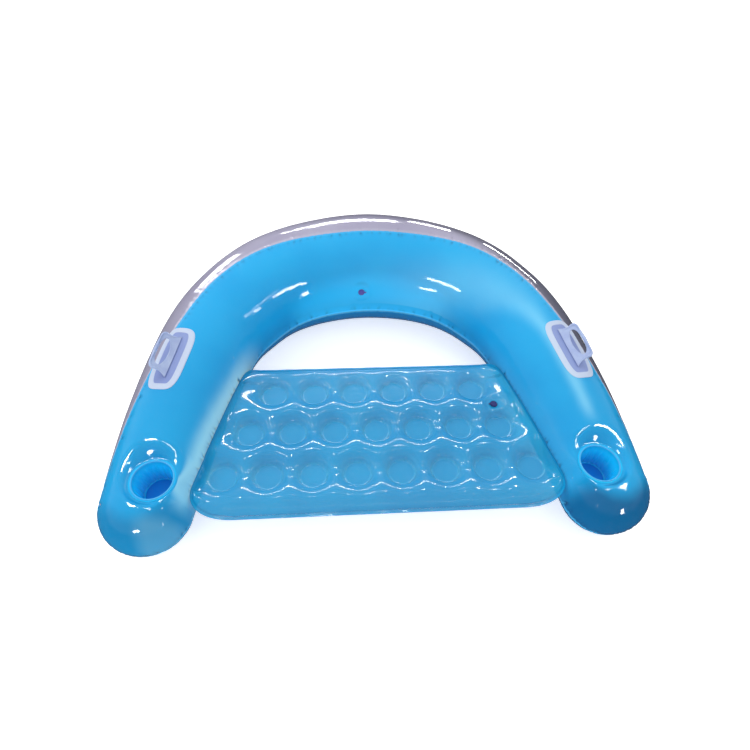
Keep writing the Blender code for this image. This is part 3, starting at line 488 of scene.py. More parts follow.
class Look(Graph):
    """A Principled material."""

    def __init__(self, name, roughness, alpha=1.0, ior=1.5):
        super().__init__(bpy.data.materials.new(name), "Object")
        self.shader = self.nodes["Principled BSDF"]
        self.put("Roughness", roughness)
        self.put("Alpha", alpha)
        self.put("IOR", ior)

    def put(self, name, value):
        """Set a socket of the shader, or join an output to it."""
        if isinstance(value, bpy.types.NodeSocket):
            self.join(value, self.shader.inputs[name])
        else:
            self.shader.inputs[name].default_value = value

    def noise(self, scale, detail=3.0, distortion=0.0):
        made = self.nodes.new("ShaderNodeTexNoise")
        made.inputs["Scale"].default_value = scale
        made.inputs["Detail"].default_value = detail
        made.inputs["Distortion"].default_value = distortion
        self.join(self.where, made.inputs["Vector"])
        return made.outputs["Fac"]

    def mark(self, name):
        made = self.nodes.new("ShaderNodeAttribute")
        made.attribute_name = name
        return made.outputs["Fac"]

    def mix(self, share, first, second):
        """A blend of two colours, each an output or red, green and blue from 0 to 255."""
        made = self.nodes.new("ShaderNodeMix")
        made.data_type = "RGBA"
        self.join(share, made.inputs["Factor"])
        colours = [s for s in made.inputs if s.type == "RGBA"]
        for socket, value in zip(colours, (first, second)):
            if isinstance(value, tuple):
                socket.default_value = linear(*value)
            else:
                self.join(value, socket)
        return [s for s in made.outputs if s.type == "RGBA"][0]

    def bump(self, height, distance, before=None):
        made = self.nodes.new("ShaderNodeBump")
        made.inputs["Distance"].default_value = distance
        self.join(height, made.inputs["Height"])
        if before:
            self.join(before, made.inputs["Normal"])
        return made.outputs["Normal"]


# Films: noise scales per metre, spans of the noise that count, and heights of the bumps in metres
TINT_SCALE = 5.0
TINT_SPAN = (0.35, 0.65)
WELD_TINT = 0.9
GLOSS_SCALE = 38.0
GLOSS_SPAN = (0.3, 0.75)
GLOSS_SHARES = (0.7, 1.7)
WELD_ROUGHNESS = 0.16
SOFT_SCALE = 24.0
SOFT_BUMP = 0.0006
FINE_SCALE = 420.0
FINE_BUMP = 0.000006
PRESS_SCALE = 520.0
PRESS_BUMP = 0.0005


def vinyl(
    name, colour, second, weld, alphas, roughness=0.06, deep=None, painted_glow=None, through=None, ior=1.34
):
    """Glossy welded film: an uneven tint, fine grain, and a pressed pattern where it is welded.

    Its marks say where it is welded, where painted shade darkens it, and where painted light glows
    from it.
    """
    alpha, weld_alpha = alphas
    look = Look(name, roughness, alpha, ior)
    # Painted light: an emission driven by the lit and through marks stands in for light falling on
    # and coming through the film
    if painted_glow:
        light = look.mix(look.mark("lit"), (0, 0, 0), painted_glow)
        if through:
            light = look.mix(look.mark("through"), light, through)
        look.put("Emission Color", light)
        look.put("Emission Strength", 1.0)
    welded = look.mark("weld")
    tint = look.mix(look.span(look.noise(TINT_SCALE, 2.0), *TINT_SPAN), colour, second)
    # Painted shade: the low mark darkens the tint towards the deep colour
    if deep:
        tint = look.mix(look.mark("low"), tint, deep)
    look.put("Base Color", look.mix(look.math("MULTIPLY", welded, WELD_TINT), tint, weld))
    shares = [roughness * share for share in GLOSS_SHARES]
    rough = look.span(look.noise(GLOSS_SCALE, 4.0), *GLOSS_SPAN, *shares)
    look.put("Roughness", look.math("ADD", rough, look.math("MULTIPLY", welded, WELD_ROUGHNESS)))
    look.put("Alpha", look.span(welded, 0.0, 1.0, alpha, weld_alpha))
    soft = look.bump(look.noise(SOFT_SCALE, 2.0, 0.4), SOFT_BUMP)
    fine = look.bump(look.noise(FINE_SCALE, 2.0), FINE_BUMP, soft)
    press = look.nodes.new("ShaderNodeTexVoronoi")
    press.inputs["Scale"].default_value = PRESS_SCALE
    look.join(look.where, press.inputs["Vector"])
    ribs = look.math("MULTIPLY", press.outputs["Distance"], welded)
    look.put("Normal", look.bump(ribs, PRESS_BUMP, fine))
    return look.made


# Moulded plastic, in the same terms
CLOUD_SCALE = 22.0
PLASTIC_SPAN = (0.3, 0.7)
SATIN_SCALE = 70.0
SATIN_SHARES = (0.7, 1.4)
GRAIN_SCALE = 900.0
GRAIN_BUMP = 0.00004
DENT_SCALE = 60.0
DENT_BUMP = 0.0003


def moulded(name, colour, second, roughness, alpha=1.0):
    """Moulded soft plastic with a faint grain and clouding."""
    look = Look(name, roughness, alpha)
    clouds = look.span(look.noise(CLOUD_SCALE, 4.0, 0.6), *PLASTIC_SPAN)
    look.put("Base Color", look.mix(clouds, colour, second))
    shares = [roughness * share for share in SATIN_SHARES]
    look.put("Roughness", look.span(look.noise(SATIN_SCALE, 4.0), *PLASTIC_SPAN, *shares))
    grain = look.bump(look.noise(GRAIN_SCALE, 2.0), GRAIN_BUMP)
    look.put("Normal", look.bump(look.noise(DENT_SCALE, 2.0), DENT_BUMP, grain))
    return look.made


# The deep colours below are painted shade; the painted_glow and through colours are painted light,
# given off as emission
BLUE_FILM = vinyl(
    "blue_film",
    (24, 176, 238),
    (18, 168, 233),
    (66, 182, 240),
    (0.92, 0.93),
    deep=(0, 96, 150),
    painted_glow=(142, 160, 128),
    through=(60, 176, 214),
)
BELLY_FILM = vinyl(
    "belly_film", (0, 146, 204), (0, 134, 194), (90, 185, 230), (0.88, 0.92), deep=(0, 104, 160)
)
CLEAR_FILM = vinyl(
    "clear_film",
    (172, 169, 192),
    (162, 158, 183),
    (186, 183, 204),
    (0.92, 0.92),
    deep=(78, 80, 96),
    ior=1.16,
)
SEAT_FILM = vinyl(
    "seat_film",
    (0, 162, 217),
    (0, 152, 209),
    (66, 184, 228),
    (0.76, 0.86),
    0.08,
    painted_glow=(50, 92, 84),
    ior=1.26,
)
UNDER_FILM = vinyl("under_film", (0, 132, 192), (0, 122, 184), (60, 176, 220), (0.74, 0.84))
CUP_FILM = vinyl(
    "cup_film", (0, 196, 248), (0, 180, 244), (84, 188, 244), (0.92, 0.95), painted_glow=(0, 84, 110)
)
CUP_FLOOR = vinyl("cup_floor", (0, 140, 220), (0, 128, 212), (60, 160, 226), (0.95, 0.95))
PATCH_MILK = vinyl(
    "patch_milk", (150, 166, 216), (136, 152, 208), (214, 226, 246), (0.9, 0.86), 0.14
)
GRIP_MILK = moulded("grip_milk", (186, 202, 234), (160, 176, 220), 0.16, 0.96)
NAVY_PLASTIC = moulded("navy_plastic", (34, 44, 116), (26, 34, 100), 0.3)
VIOLET_PLASTIC = moulded("violet_plastic", (104, 92, 172), (88, 80, 160), 0.35)


def stand_for(piece, node, body="chair"):
    """Let a piece ride on its body and stand for a CAD node."""
    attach(piece, body)
    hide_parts(node)


# Air tube
STRIP_PITCH = 0.0034
OUTER_SHARES = np.linspace(0, 1, 12)
CROWN_SHARES = np.linspace(0, 1, 84)
INNER_SHARES = np.linspace(0, 1, 16)
END_PLACES = arc_places(CUP_ROW_SHARE, 1.0, 0.0036)
TIP_TURNS = np.linspace(0, 180, 112)
RIM_STEPS = 5
RING_STEPS = 34
LOW_LEVEL = 0.13
# Rises of a film's normal between which painted shade darkens it as it turns down
TOP_LOW = (0.45, -0.75)
OUTER_LOW = (0.95, 0.05)
BELLY_LOW = (0.2, -0.7)
# Edges of the films
CLEAR_TIP_TURN = 74
HALF_LENGTH = 1.62
NOTCH_DEPTH = 0.30
# Creases of the seams: depth, pitch and reach in metres
OUTER_CREASES = (0.0020, 0.019, 0.024)
INNER_CREASES = (0.0016, 0.024, 0.034)
TIP_CREASES = (0.0042, 0.014, 0.034)
WELD_CREASES = (0.0024, 0.011, 0.022)
CREASE_WIDTH = 0.20
WELD_EDGE = 0.75 * LAP
WELD_FADE = 0.35 * LAP
WELD_PAST = (0.004, 0.01)
SEAM_SAMPLES = 1300
TIP_SAMPLES = 420
WELD_SAMPLES = 400
SEAM_SEED = 40
# Slight unevenness of the skin: height in metres and waves per metre
UNEVEN = ((0.0007, 9.0), (0.0002, 31.0))
STILL_HEIGHT = 0.03


def half_places():
    rear = arc_places(0.0, WELD_REAR_SHARE, STRIP_PITCH)
    return np.concatenate([rear, arc_places(WELD_REAR_SHARE, CUP_ROW_SHARE, STRIP_PITCH)[1:]])


def notch(place, side):
    """Small uneven bites along the edge of the blue film, in degrees."""
    run = place * HALF_LENGTH * side
    bite = np.sin(run * 431) * np.sin(run * 173 + 1.3) + 0.6 * np.sin(run * 911 + 0.4)
    return NOTCH_DEPTH * np.clip(bite, -0.4, 1.4)


def upper_angles(place, side):
    """Angles over the top of the tube, from outer to inner seam, with a row for each place."""
    place = place[:, None]
    seam = outer_seam(place)
    collar = seam + COLLAR_RISE_ANGLE
    weld = weld_angle(place)
    outer = lerp(seam + notch(place, side), collar, OUTER_SHARES)
    crown = lerp(collar, weld, CROWN_SHARES[1:])
    inner = lerp(weld, INNER_SEAM_ANGLE, INNER_SHARES[1:])
    return np.concatenate([outer, crown, inner], 1)


def end_band(side):
    """Rows from seam to collar: the outer side, the arm's end, and the inner side back."""
    place = END_PLACES[:, None]
    seam = outer_seam(place)
    collar = seam + COLLAR_RISE_ANGLE
    outer = tube(place, side, lerp(seam + notch(place, side), collar, OUTER_SHARES))
    turn = TIP_TURNS[:, None]
    round_end = tip(turn, side, lerp(tip_seam(turn), tip_collar(turn), OUTER_SHARES))
    place = END_PLACES[::-1, None]
    inner = tube(place, side, lerp(INNER_SEAM_ANGLE, weld_angle(place), INNER_SHARES))
    return outer, round_end, inner


# The centreline at the seat and the cup holders
SPINE_PLACES = np.linspace(0.55, 1, 900)
SPINE = centre(SPINE_PLACES)
SPINE_ALONG = unit(np.gradient(SPINE, axis=0))


def nearest_spine(level):
    """Nearest spot on the centreline and the radius there, for points in plan on the right."""
    gaps = ((level[:, None, :] - SPINE[None]) ** 2).sum(-1)
    i = gaps.argmin(1)
    ahead = ((level - SPINE[i]) * SPINE_ALONG[i]).sum(1)
    ahead = np.where(i == len(SPINE) - 1, np.minimum(ahead, 0), ahead)
    return SPINE[i] + SPINE_ALONG[i] * ahead[:, None], tube_radius(SPINE_PLACES[i])


def onto_tube(points):
    spot, radius = nearest_spine(points[:, :2])
    middle = np.concatenate([spot, (radius - FOOT_SINK)[:, None]], 1)
    return middle + unit(points - middle) * radius[:, None]


def cup_skin(feet, share):
    """Skin round the right cup holder, from its landing at share 0 to the collar at 1."""
    off_axis = feet[:, :2] - CUP_AXIS
    away = unit(off_axis)
    level = CUP_AXIS + away * CUP_LANDING_RADIUS
    spot, radius = nearest_spine(level)
    off = np.linalg.norm(level - spot, axis=1)
    height = radius - FOOT_SINK + np.sqrt(np.maximum(radius**2 - off**2, 0))
    landing = np.concatenate([level, height[:, None]], 1)
    points = onto_tube(lerp(landing, feet, share))
    far = np.linalg.norm(points[:, :2] - CUP_AXIS, axis=1) - CUP_LANDING_RADIUS
    dimple = lerp(CUP_DIMPLE_AHEAD, CUP_DIMPLE, fade(away[:, 1], *DIMPLE_SPAN))
    free = np.linalg.norm(off_axis, axis=1) - CUP_LANDING_RADIUS
    room = (dimple**-DIMPLE_SHARPNESS + free**-DIMPLE_SHARPNESS) ** (-1 / DIMPLE_SHARPNESS)
    left = 1 - np.clip(far / room, 0, 1)
    points[:, 2] = lerp(CUP_RIM_HEIGHT, points[:, 2], 1 - left**2)
    return points


def cup_rings(feet):
    """All rings between the mouth of the cup holder and the collar, on the right."""
    away = unit(feet[:, :2] - CUP_AXIS)
    rings = []
    for reach in np.linspace(CUP_HOLE_PLAY * 0.3, CUP_HOLE_PLAY + CUP_LANDING, RIM_STEPS)[:-1]:
        level = CUP_AXIS + away * (CUP_MOUTH_RADIUS + reach)
        rings.append(np.concatenate([level, np.full((len(level), 1), CUP_RIM_HEIGHT)], 1))
    rings += [cup_skin(feet, share) for share in np.linspace(0, 1, RING_STEPS)]
    return np.stack(rings)


def mirrored(points, side):
    return points * (side, 1, 1)


def upper_film():
    film = Film()
    places = half_places()
    for side in (-1, 1):
        film.add(tube(places[:, None], side, upper_angles(places, side)))
        outer, round_end, inner = end_band(side)
        for block in (outer, round_end, inner):
            film.add(block)
        first, last = len(OUTER_SHARES) - 1, len(INNER_SHARES) - 1
        row_angles = upper_angles(np.array([CUP_ROW_SHARE]), 1)[0][first:-last]
        row = tube(CUP_ROW_SHARE, 1, row_angles)[::-1]
        right = [mirrored(block[:, -1], side) for block in (outer, round_end, inner)]
        feet = np.concatenate([right[0], right[1][1:], right[2][1:], row[1:]])
        film.add(mirrored(cup_rings(feet), side))
    return film


FOOT_COLUMNS = 46
FOOT_GROWTH = 1.25


def under_columns(seam, lap, jog, foot_side):
    """Angles and lifts from the lap under the seam, over the belly, to the middle of the foot."""
    tucked = -(SHEET + CLEARANCE)
    shares = np.linspace(0, 1, FOOT_COLUMNS) ** FOOT_GROWTH
    angles = [seam + lap, seam + lap / 2, seam]
    angles += [lerp(seam - jog, foot_side, share) for share in shares]
    lifts = np.array([tucked] * 3 + [0.0] * FOOT_COLUMNS)
    return np.concatenate(angles, 1), lifts


def under_film(inner):
    """The outer half of the lower skin, or with inner the half below the inner seam."""
    film = Film()
    places = np.concatenate([half_places(), END_PLACES[1:]])[:, None]
    radius = tube_radius(places)
    lap = np.degrees(LAP / radius) * (-1 if inner else 1)
    jog = np.degrees(JOG / radius) * (-1 if inner else 1)
    seam = np.full_like(places, INNER_SEAM_ANGLE) if inner else outer_seam(places)
    angles, lifts = under_columns(seam, lap, jog, 270.0 if inner else -90.0)
    join = [float(CLEAR_TIP_TURN)]
    if inner:
        turns = np.concatenate([join, TIP_TURNS[TIP_TURNS >= CLEAR_TIP_TURN]])[:, None]
    else:
        turns = np.concatenate([TIP_TURNS[TIP_TURNS <= CLEAR_TIP_TURN], join])[:, None]
    lap = np.degrees(LAP / ARM_END_RADIUS)
    jog = np.degrees(JOG / ARM_END_RADIUS)
    end_angles, _ = under_columns(tip_seam(turns), lap, jog, -90.0)
    for side in (-1, 1):
        film.add(tube(places, side, angles, lifts))
        film.add(tip(turns, side, end_angles, lifts))
    return film


def seam_lines():
    """The seams of the tube, each with the depth, pitch and reach of its creases."""
    places = np.linspace(0, 1, SEAM_SAMPLES)
    both = []
    for angle_at in (outer_seam, lambda p: np.full_like(p, INNER_SEAM_ANGLE)):
        right = tube(places, 1, angle_at(places))
        both.append(np.concatenate([mirrored(right[:0:-1], -1), right]))
    turns = np.linspace(0, 180, TIP_SAMPLES)
    lines = [(both[0], *OUTER_CREASES), (both[1], *INNER_CREASES)]
    for side in (-1, 1):
        lines.append((tip(turns, side, tip_seam(turns)), *TIP_CREASES))
    return lines


def weld_lines():
    """The welds of the seat on both arms, in the same terms, a little past both ends."""
    rear, front = WELD_PAST
    places = np.linspace(WELD_REAR_SHARE - rear, WELD_FRONT_SHARE + front, WELD_SAMPLES)
    return [(tube(places, side, weld_angle(places)), *WELD_CREASES) for side in (-1, 1)]


def mark_turned_down_shade(piece, blank, full):
    """Painted shade where a film turns down: 0 where its normal rises by blank and 1 where by full.
    """
    rise = np.abs(normals_of(piece)[:, 2]) * np.sign(corners_of(piece)[:, 2] - LOW_LEVEL)
    set_mark(piece, "low", fade(rise, blank, full))


# Marks of the upper film: how much painted shade darkens its colour, and how much painted light
# glows from it
END_SHADES = (0.55, 0.95)
ARM_SHADE = 0.15
CREASE_SHADE = 0.8
LEFT_ARM_LIGHT = 0.95
LEFT_FOOT_LIGHT = 0.25
RIGHT_ARM_LIGHT = 0.1
CROWN_LIGHTS = (0.6, 0.35)
SLOPE_LIGHT = 0.42
# Where each fades in, by places in metres or by parts of a normal, and how wide it is
END_SPAN = (CUP_BACK - 0.01, CUP_BACK - 0.095)
RIGHT_SPAN = (-0.2, 0.2)
END_SHADE_RISE_SPAN = (1.03, 0.73)
ARM_SHADE_SPAN = (0.15, -0.25)
ARM_TILTS = (0.97, 0.86)
ARM_TILT_SPAN = (-0.05, -0.35)
ARM_TILT_WIDTH = 0.12
ARM_LIGHT_SPAN = (0.1, -0.1)
REAR_SPAN = (-0.05, 0.2)
CROWN_TILTS = (0.08, 0.25)
CROWN_TILT_WIDTHS = (0.13, 0.35)
CROWN_SPAN = (0.35, 0.15)
FROM_CUP_SPAN = (0.09, 0.17)
FOOT_AHEAD_SPAN = (0.35, 0.65)
FOOT_OUT_SPAN = (-0.1, 0.3)
SLOPE_TILT_SPAN = (0.75, 1.0)
SLOPE_SPAN = (-0.1, 0.1)


def mark_ends(top, creased):
    """Painted shade on the arms' round ends, along the arms and in creases, and painted light on
    the inner slopes, crowns and round ends.
    """
    points = corners_of(top)
    normals = normals_of(top)
    x, y = points[:, 0], points[:, 1]
    ahead = fade(y, *END_SPAN)
    right = fade(x, *RIGHT_SPAN)
    # Painted shade: round ends darker as they turn away from the top, the right one most
    deep = ahead * fade(normals[:, 2], *END_SHADE_RISE_SPAN) * lerp(*END_SHADES, right)
    layer = top.data.attributes["low"].data
    found = np.zeros(len(points))
    layer.foreach_get("value", found)
    found = np.maximum(found * (1 - ahead), deep)
    found = np.maximum(found, ARM_SHADE * fade(y, *ARM_SHADE_SPAN)) + CREASE_SHADE * creased
    layer.foreach_set("value", np.clip(found, 0, 1))
    # Painted light: pale glow on the arms' inner slopes and crowns, stronger on the left, and on
    # the back's inner slope
    inward = -normals[:, 0] * np.sign(x)
    arm = bell(inward, lerp(*ARM_TILTS, fade(y, *ARM_TILT_SPAN)), ARM_TILT_WIDTH)
    arm *= (1 - ahead) * fade(y, *ARM_LIGHT_SPAN)
    rear = fade(y, *REAR_SPAN)
    crown = bell(inward, lerp(*CROWN_TILTS, rear), lerp(*CROWN_TILT_WIDTHS, rear))
    crown *= (normals[:, 2] > 0) * (1 - ahead) * fade(y, *CROWN_SPAN) * lerp(*CROWN_LIGHTS, rear)
    crown *= fade(np.hypot(np.abs(x) - CUP_ACROSS, y - CUP_BACK), *FROM_CUP_SPAN)
    foot = ahead * fade(-normals[:, 1], *FOOT_AHEAD_SPAN) * fade(normals[:, 0], *FOOT_OUT_SPAN)
    left_light = np.maximum(LEFT_ARM_LIGHT * arm, LEFT_FOOT_LIGHT * foot)
    set_mark(top, "lit", lerp(left_light, np.maximum(crown, RIGHT_ARM_LIGHT * arm), right))
    slope = fade(-normals[:, 1], *SLOPE_TILT_SPAN) * fade(y, *SLOPE_SPAN)
    set_mark(top, "through", SLOPE_LIGHT * slope)


# Painted shade on the clear band, by place across the chair and where it faces down
BAND_PLACES = (-0.7, -0.5, -0.3, -0.1, 0.0, 0.3, 0.6, 0.76)
BAND_SHADES = (0.35, 0.1, 0.1, 0.4, 0.45, 0.64, 0.85, 1.0)
BAND_TILT_SPAN = (0.1, 0.4)
BELOW_SHADE = 0.7
BELOW_SPAN = (0.0, -0.4)


def mark_band(outer):
    """Painted shade on the clear band: darker towards its outline and where it faces down, most of
    all along the right arm.
    """
    normals = normals_of(outer)
    tilt = np.hypot(normals[:, 0], normals[:, 1])
    depth = np.interp(corners_of(outer)[:, 0], BAND_PLACES, BAND_SHADES)
    below = BELOW_SHADE * fade(normals[:, 2], *BELOW_SPAN)
    found = np.maximum(fade(tilt, *BAND_TILT_SPAN) * depth, below)
    outer.data.attributes["low"].data.foreach_set("value", found)


def crease(piece, lines):
    """Push a film in along the creases of its seams, and give it a slight unevenness."""
    points = corners_of(piece)
    normals = normals_of(piece)
    depth = np.zeros(len(points))
    welded = np.zeros(len(points))
    creased = np.zeros(len(points))
    for i, (line, deep, pitch, reach) in enumerate(lines):
        far, place = near_line(points, line, reach * 3)
        total = run_length(line)[-1]
        pleats = Pleats(SEAM_SEED + i, total, pitch)
        found = pleats.field(far, place, reach, pitch * CREASE_WIDTH)
        found = found * ease(place / pitch) * ease((total - place) / pitch) * (far < FAR_OFF)
        depth += deep * found
        welded = np.maximum(welded, 1 - ease((far - WELD_EDGE) / WELD_FADE))
        creased = np.maximum(creased, found * ease(1.4 - far / reach))
    uneven = sum(high * waves(points, scale, i) for i, (high, scale) in enumerate(UNEVEN, 1))
    points = points + normals * (uneven * ease(points[:, 2] / STILL_HEIGHT) - depth)[:, None]
    points[:, 2] = np.maximum(points[:, 2], 0)
    return points, welded, creased


def make_tube():
    seams = seam_lines()
    top = upper_film().build("tube_upper_film", BLUE_FILM, (0, 0, 1))
    points, welded, creased = crease(top, seams + weld_lines())
    points = flat_at(points, TUBE_VALVE_SPOT, TUBE_VALVE_NORMAL)
    set_corners(top, points)
    set_mark(top, "weld", welded)
    mark_turned_down_shade(top, *TOP_LOW)
    mark_ends(top, creased)
    stand_for(top, "tube_top_sheet")
    made = [top]
    for name, inner, look, slot, low in (
        ("tube_outer_film", False, CLEAR_FILM, "clear_vinyl", OUTER_LOW),
        ("tube_belly_film", True, BELLY_FILM, "blue_vinyl", BELLY_LOW),
    ):
        lower = under_film(inner).build(name, look, (0, 0, -1))
        points, welded, _ = crease(lower, seams)
        set_corners(lower, points)
        set_mark(lower, "weld", welded)
        mark_turned_down_shade(lower, *low)
        if not inner:
            mark_band(lower)
        stand_for(lower, "tube_bottom_sheet")
        made.append(lower)
    return made


# Seat pad
SEAT_COLUMNS = 430
SEAT_PITCH = 0.0024
EDGE_ROW = 0.0003
EDGE_GROWTH = 1.25
EDGE_ROWS = 10
REAR_TURN_SHARE = 0.73875
FRONT_TURN_SHARE = 0.92333
FLANGE_UP_CUP = 0.4
CELL = 0.002
COARSE_CELLS = (8, 4, 2, 1)
RELAX_ROUNDS = 260
BLUR_ROUNDS = 5
RIM_CONTACT = 0.0135
SNAP_SHARE = 0.52
CORNER_REACH = 0.018
EDGE_FADE = 0.004
# Marks of the seat: how strong and how wide they are
FLANGE_MARK = 0.15
DISC_MARK = 0.28
RING_MARK = 0.6
RING_INSET = 0.0035
RING_WIDTH = 0.0028
# HALO, HALO_BESIDE, ARM_LIGHT and PALE_BY_ARM set painted light: a glow round the discs and along
# the right arm
HALO = 0.012
HALO_BESIDE = 0.45
ARM_LIGHT = 0.7
PALE_BY_ARM = 0.13
# Puckers of the seat: pitch, reach, width and depths in metres
DISC_PUCKERS = (0.0075, 0.022, 0.0017)
PUCKER_DEPTHS = (0.00006, 0.0007, 0.00014)
NECK_WIDTH = 0.42
EDGE_PUCKERS = (0.016, 0.03, 0.0032)
EDGE_PUCKER_DEPTH = 0.0007
DISC_SEED = 900
EDGE_SEED = 70
RIPPLE = 0.0004


def seat_plane(back):
    return SEAT_HEIGHT - math.tan(SEAT_TILT) * (back - ROW_MIDDLE)


def seat_discs():
    found = []
    for row, count in enumerate(DISCS_IN_ROWS):
        back = ROW_MIDDLE + (row - 1) * ROW_PITCH
        found += [((i - (count - 1) / 2) * DISC_PITCH, back) for i in range(count)]
    return np.array(found)


DISCS = seat_discs()


def bezier(first, control, last, share):
    share = share[:, None]
    return lerp(lerp(first, control, share), lerp(control, last, share), share)


class SeatEdge:
    """Right half of the seat's outline: places, ways up, flange directions and ties to the arm."""

    def __init__(self):
        arm = np.linspace(WELD_REAR_SHARE, WELD_FRONT_SHARE, 240)
        skin = tube(arm, 1, weld_angle(arm))
        spots = tube(arm, 1, weld_angle(arm), WELD_MIDDLE)
        above = unit(spots - skin)
        rise = tube(arm, 1, weld_angle(arm) - np.degrees(SEAT_FLANGE / tube_radius(arm)))
        cups = cup_skin(skin, FLANGE_UP_CUP)
        rise = np.where((arm > CUP_ROW_SHARE)[:, None], cups, rise)
        flange = rise - skin
        flange = unit(flange - above * (flange * above).sum(1)[:, None])
        self.arm = spots
        # Each row of the parts holds a place, its way up, its flange direction and its tie
        parts = []
        for end, before, width, back in (
            (0, REAR_TURN_SHARE, REAR_CORNER, SEAT_REAR),
            (-1, FRONT_TURN_SHARE, FRONT_CORNER, SEAT_FRONT),
        ):
            first = spots[end]
            ahead = first - tube(before, 1, weld_angle(before), WELD_MIDDLE)
            last = np.array([first[0] - width, back, seat_plane(back)])
            across = first[0] + ahead[0] / ahead[1] * (back - first[1]) - CORNER_DRAW
            share = np.linspace(0, 1, 60)
            run = bezier(first, np.array([across, back, last[2]]), last, share)
            run[:, 2] = lerp(first[2], last[2], ease(share))
            out = np.array([0, math.copysign(1, back - ROW_MIDDLE), 0])
            up = unit(lerp(above[end], np.array([0, 0, 1.0]), share[:, None]))
            way = lerp(flange[end], out, share[:, None])
            way = unit(way - up * (way * up).sum(1)[:, None])
            free = np.tile([*last, 0, 0, 1, *out, 0], (199, 1))
            free[:, 0] = np.linspace(last[0], 0, 200)[1:]
            parts.append(np.concatenate([np.column_stack([run, up, way, 1 - share]), free]))
        side = np.column_stack([spots, above, flange, np.ones(len(spots))])[1:-1]
        whole = np.concatenate([parts[0][::-1], side, parts[1]])
        self.place, self.up, self.way = whole[:, :3], whole[:, 3:6], whole[:, 6:9]
        self.tie = whole[:, 9]


def seat_rows():
    """Places along Y from the front edge to the rear one, closer together at the edges."""
    growing = EDGE_ROW * EDGE_GROWTH ** np.arange(EDGE_ROWS)
    edge = np.concatenate([[0], np.cumsum(growing)])
    count = int((SEAT_DEPTH - 2 * edge[-1]) / SEAT_PITCH)
    middle = np.linspace(edge[-1], SEAT_DEPTH - edge[-1], count)
    return SEAT_FRONT + np.concatenate([edge[:-1], middle, (SEAT_DEPTH - edge)[-2::-1]])


def relax(height, free, rounds):
    """Shape of a stretched skin under air, held where it isn't free."""
    for _ in range(rounds):
        around = height[:-2, 1:-1] + height[2:, 1:-1] + height[1:-1, :-2] + height[1:-1, 2:]
        height[1:-1, 1:-1] = np.where(free, (around + 1) / 4, 0)
    return height


def blur(values, weight, rounds):
    for _ in range(rounds):
        for axis in (0, 1):
            total = weight * values
            total = total + np.roll(total, 1, axis) + np.roll(total, -1, axis)
            count = weight + np.roll(weight, 1, axis) + np.roll(weight, -1, axis)
            values = np.where(weight > 0, total / np.maximum(count, 1), values)
    return values


class AirShape:
    """How far the air lifts each sheet of the pad: a skin held at the discs and the outline."""

    def __init__(self, edge):
        reach = edge.place[:, 0].max() + 4 * CELL
        self.across = np.arange(-int(reach / CELL) - 1, int(reach / CELL) + 2) * CELL
        self.back = SEAT_FRONT - 3 * CELL + np.arange(int(SEAT_DEPTH / CELL) + 7) * CELL
        x, y = np.meshgrid(self.across, self.back)
        wide = edge.width(y)
        wall = np.minimum(np.minimum(wide - np.abs(x), y - SEAT_FRONT), SEAT_REAR - y)
        discs = np.full_like(x, FAR_OFF)
        for across, back in DISCS:
            discs = np.minimum(discs, np.hypot(x - across, y - back) - DISC_RADIUS)
        gap = np.minimum(wall, discs)
        inside = gap > 0
        height = np.zeros_like(x)
        for skip in COARSE_CELLS:
            free = inside[::skip, ::skip][1:-1, 1:-1]
            coarse = relax(height[::skip, ::skip] / skip**2, free, RELAX_ROUNDS)
            rows = np.arange(height.shape[0]) / skip
            columns = np.arange(height.shape[1]) / skip
            height = bilinear(coarse * skip**2, *np.meshgrid(columns, rows))
        height = height * CELL**2
        close = np.maximum(gap, CELL / 2)
        ratio = blur(height / close, inside.astype(float), BLUR_ROUNDS)
        self.height = np.where(inside, lerp(ratio * close, height, ease(gap / (6 * CELL))), 0)

    def lift(self, points):
        """Height of the skin: arcs that meet the welds at an angle."""
        columns = (points[:, 0] - self.across[0]) / CELL
        rows = (points[:, 1] - self.back[0]) / CELL
        air = bilinear(self.height, columns, rows)
        return np.sqrt(2 * air + RIM_CONTACT**2) - RIM_CONTACT


def bilinear(values, columns, rows):
    columns = np.clip(columns, 0, values.shape[1] - 1.001)
    rows = np.clip(rows, 0, values.shape[0] - 1.001)
    i, j = rows.astype(int), columns.astype(int)
    a, b = rows - i, columns - j
    low = values[i, j] * (1 - b) + values[i, j + 1] * b
    return low * (1 - a) + (values[i + 1, j] * (1 - b) + values[i + 1, j + 1] * b) * a


